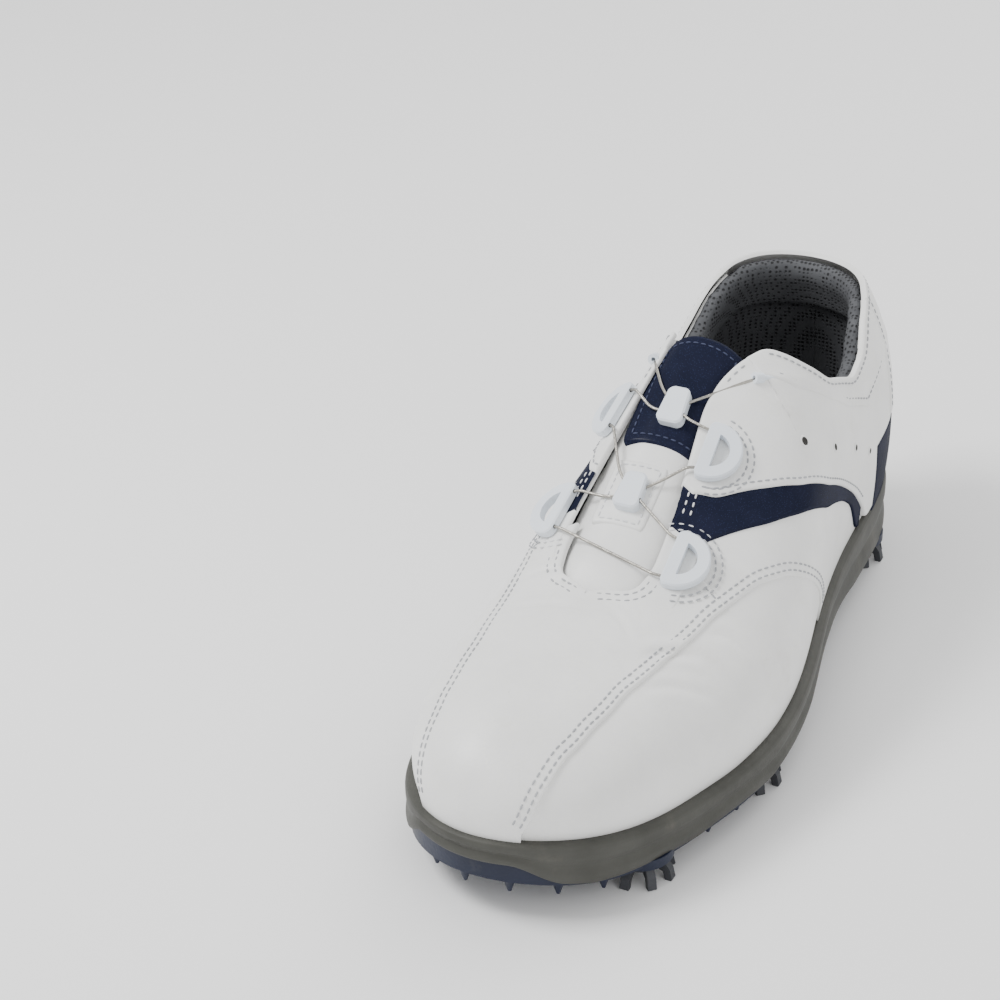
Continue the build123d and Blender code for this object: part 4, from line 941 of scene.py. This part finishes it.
for side, _ in SIDES:
    t, v = along_edge(side * 0.0605, side * 0.560, seam)
    seam_depth = np.where(np.abs(t) < 0.37, VAMP[1], QUARTER[1])
    grey.row(t, v, seam_depth, offsets=(side * 2.0, side * 4.4))
    grey.row(*up_rib(side * VAMP_END, 0.535, 0.60), VAMP[1], offsets=(side * 2.0,))
    grey.row(*along_edge(side * 0.43, side * 0.735, wing_low), WING[1], offsets=(side * 2.4,))
    grey.row(*along_edge(side * 0.59, side * 0.835, collar_seam), BAND[1], offsets=(side * 1.6,))
    grey.row(*along_edge(side * 0.53, side * 0.565, throat), WING[1], offsets=(side * -2.4,))
    grey.row(*along_edge(side * 0.2885, side * 0.340, vamp_top), VAMP[1], offsets=(side * -2.4, side * -5.0))
    pale.row(*along_edge(side * 0.400, side * 0.432, stripe_front), STRIPE[1],
             offsets=(side * -2.0, side * -4.4))
    grey.row(*up_rib(side * 0.846, 0.17, 0.51), HEEL_PANEL[1], offsets=(side * -2.0,))
    grey.row(*along_edge(side * 0.60, side * 1.0, throat), 3.2, offsets=(side * -2.6,))
grey.finish("grey_stitches", THREAD, "lining_mesh")
pale.finish("white_stitches", PALE_THREAD, "lining_mesh")


def border_row(thread, points, out, inset_rows, inset_columns):
    """Stitches round a grid, in from its border."""
    i0, i1 = inset_rows, points.shape[0] - 1 - inset_rows
    j0, j1 = inset_columns, points.shape[1] - 1 - inset_columns
    loop = ([(i0, j) for j in range(j0, j1)] + [(i, j1) for i in range(i0, i1)]
            + [(i1, j) for j in range(j1, j0, -1)] + [(i, j0) for i in range(i1, i0 - 1, -1)])
    rows, columns = zip(*loop)
    thread.add(*stitches(points[rows, columns], out[rows, columns]))


border_row(navy, top_points, top_out, 4, 4)
navy.finish("navy_stitches", NAVY_THREAD, "lining_mesh")
tab_thread = Thread()
border_row(tab_thread, tab_points, tab_out, 4, 5)
tab_thread.finish("tab_stitches", PALE_THREAD, "lining_mesh")


# ---- vent holes in the lateral and medial wings ----------------------------------------------
VENT_DEPTH = WING[1] + 0.2
VENT_POINTS = 28
VENTS = ((0.58, 0.455, 1.5), (0.649, 0.315, 1.2), (0.715, 0.225, 1.1), (0.76, 0.165, 1.0))


def vent(t, v, radius):
    """A disc with a turned rim, at a place on the wing; its dark middle stands for the hole: the dark lining
    behind it, darkened with painted shade.
    """
    here, out, by_t, _ = frames_on_skin(np.array([t]), np.array([v]), VENT_DEPTH)
    here, out, ahead = here[0], out[0], by_t[0] / np.linalg.norm(by_t[0])
    out = out * np.sign(out_sign(here[None], out[None]))[0]
    side = np.cross(out, ahead)
    rings = [(0.0, -0.05), (radius * 0.7, 0.0), (radius, 0.12), (radius + 0.25, 0.2), (radius + 0.7, -0.15)]
    angles = np.linspace(0, 2 * math.pi, VENT_POINTS + 1)[:-1]
    return np.array([[here + (ahead * math.cos(a) + side * math.sin(a)) * r + out * z for r, z in rings]
                     for a in angles])


for side, side_name in SIDES:
    dark, rims = Thread(), Thread()
    for hole_t, hole_v, hole_radius in VENTS:
        ring = vent(side * hole_t, hole_v, hole_radius)
        rings = ring.shape[1]
        faces = grid_faces(VENT_POINTS, rings, closed=True)
        inside = (faces % rings).max(axis=1) <= 2
        # the middle of each disc gets painted shade, standing for the hole through the wing
        dark.add(ring.reshape(-1, 3), faces[inside])
        rims.add(ring.reshape(-1, 3), faces[~inside])
    dark.finish("vent_holes_" + side_name, VENT_SHADE, "white_leather")
    rims.finish("vent_rims_" + side_name, WHITE, "white_leather")

# ---- floor, light, camera --------------------------------------------------------------------
plain = surface("studio_floor", (0.93, 0.93, 0.93), (0.92, 0.92, 0.92), 0.6, grain=[(200, 0.005)], patchy=6)
floor_mesh = bpy.data.meshes.new("floor")
floor_mesh.from_pydata([(-3, -3, 0), (3, -3, 0), (3, 3, 0), (-3, 3, 0)], [], [(0, 1, 2, 3)])
floor_mesh.materials.append(plain)
floor = bpy.data.objects.new("floor", floor_mesh)
bpy.context.scene.collection.objects.link(floor)

world = bpy.data.worlds.new("studio")
world.use_nodes = True
sky = world.node_tree.nodes["Background"]
sky.inputs["Color"].default_value = (1.0, 1.0, 1.0, 1)
sky.inputs["Strength"].default_value = 0.95
bpy.context.scene.world = world


LAMP_AIM = (0, 0, 0.05)


def lamp(name, place, size, power):
    """A square lamp at a place, turned to the shoe."""
    light = bpy.data.lights.new(name, "AREA")
    light.size, light.energy = size, power
    made = bpy.data.objects.new(name, light)
    bpy.context.scene.collection.objects.link(made)
    ray = np.array(LAMP_AIM, float) - np.array(place, float)
    ray /= np.linalg.norm(ray)
    right = np.cross(ray, (0, 0, 1.0))
    right /= np.linalg.norm(right)
    up = np.cross(right, ray)
    turn = Matrix(np.array([right, up, -ray]).T.tolist()).to_4x4()
    made.matrix_world = Matrix.Translation(place) @ turn


lamp("key", (-0.65, -0.35, 1.0), 0.45, 13.0)
lamp("fill", (0.9, -0.55, 0.6), 0.8, 2.5)
lamp("back", (0.1, 0.9, 0.8), 0.8, 5.0)

CAMERA_AT = (0.28997, -0.72241, 0.50360)
AZIMUTH, ELEVATION, ROLL = math.radians(26.55), math.radians(29.11), math.radians(-1.02)
forward = np.array([-math.sin(AZIMUTH) * math.cos(ELEVATION), math.cos(AZIMUTH) * math.cos(ELEVATION),
                    -math.sin(ELEVATION)])
level_right = np.cross(forward, (0, 0, 1.0))
level_right /= np.linalg.norm(level_right)
level_up = np.cross(level_right, forward)
right = level_right * math.cos(ROLL) + level_up * math.sin(ROLL)
up = level_up * math.cos(ROLL) - level_right * math.sin(ROLL)
lens = bpy.data.cameras.new("camera")
lens.sensor_width, lens.lens = 36.0, 95.589
lens.clip_start = 0.01
camera = bpy.data.objects.new("camera", lens)
camera_turn = Matrix(np.array([right, up, -forward]).T.tolist()).to_4x4()
camera.matrix_world = Matrix.Translation(CAMERA_AT) @ camera_turn
bpy.context.scene.collection.objects.link(camera)
bpy.context.scene.camera = camera
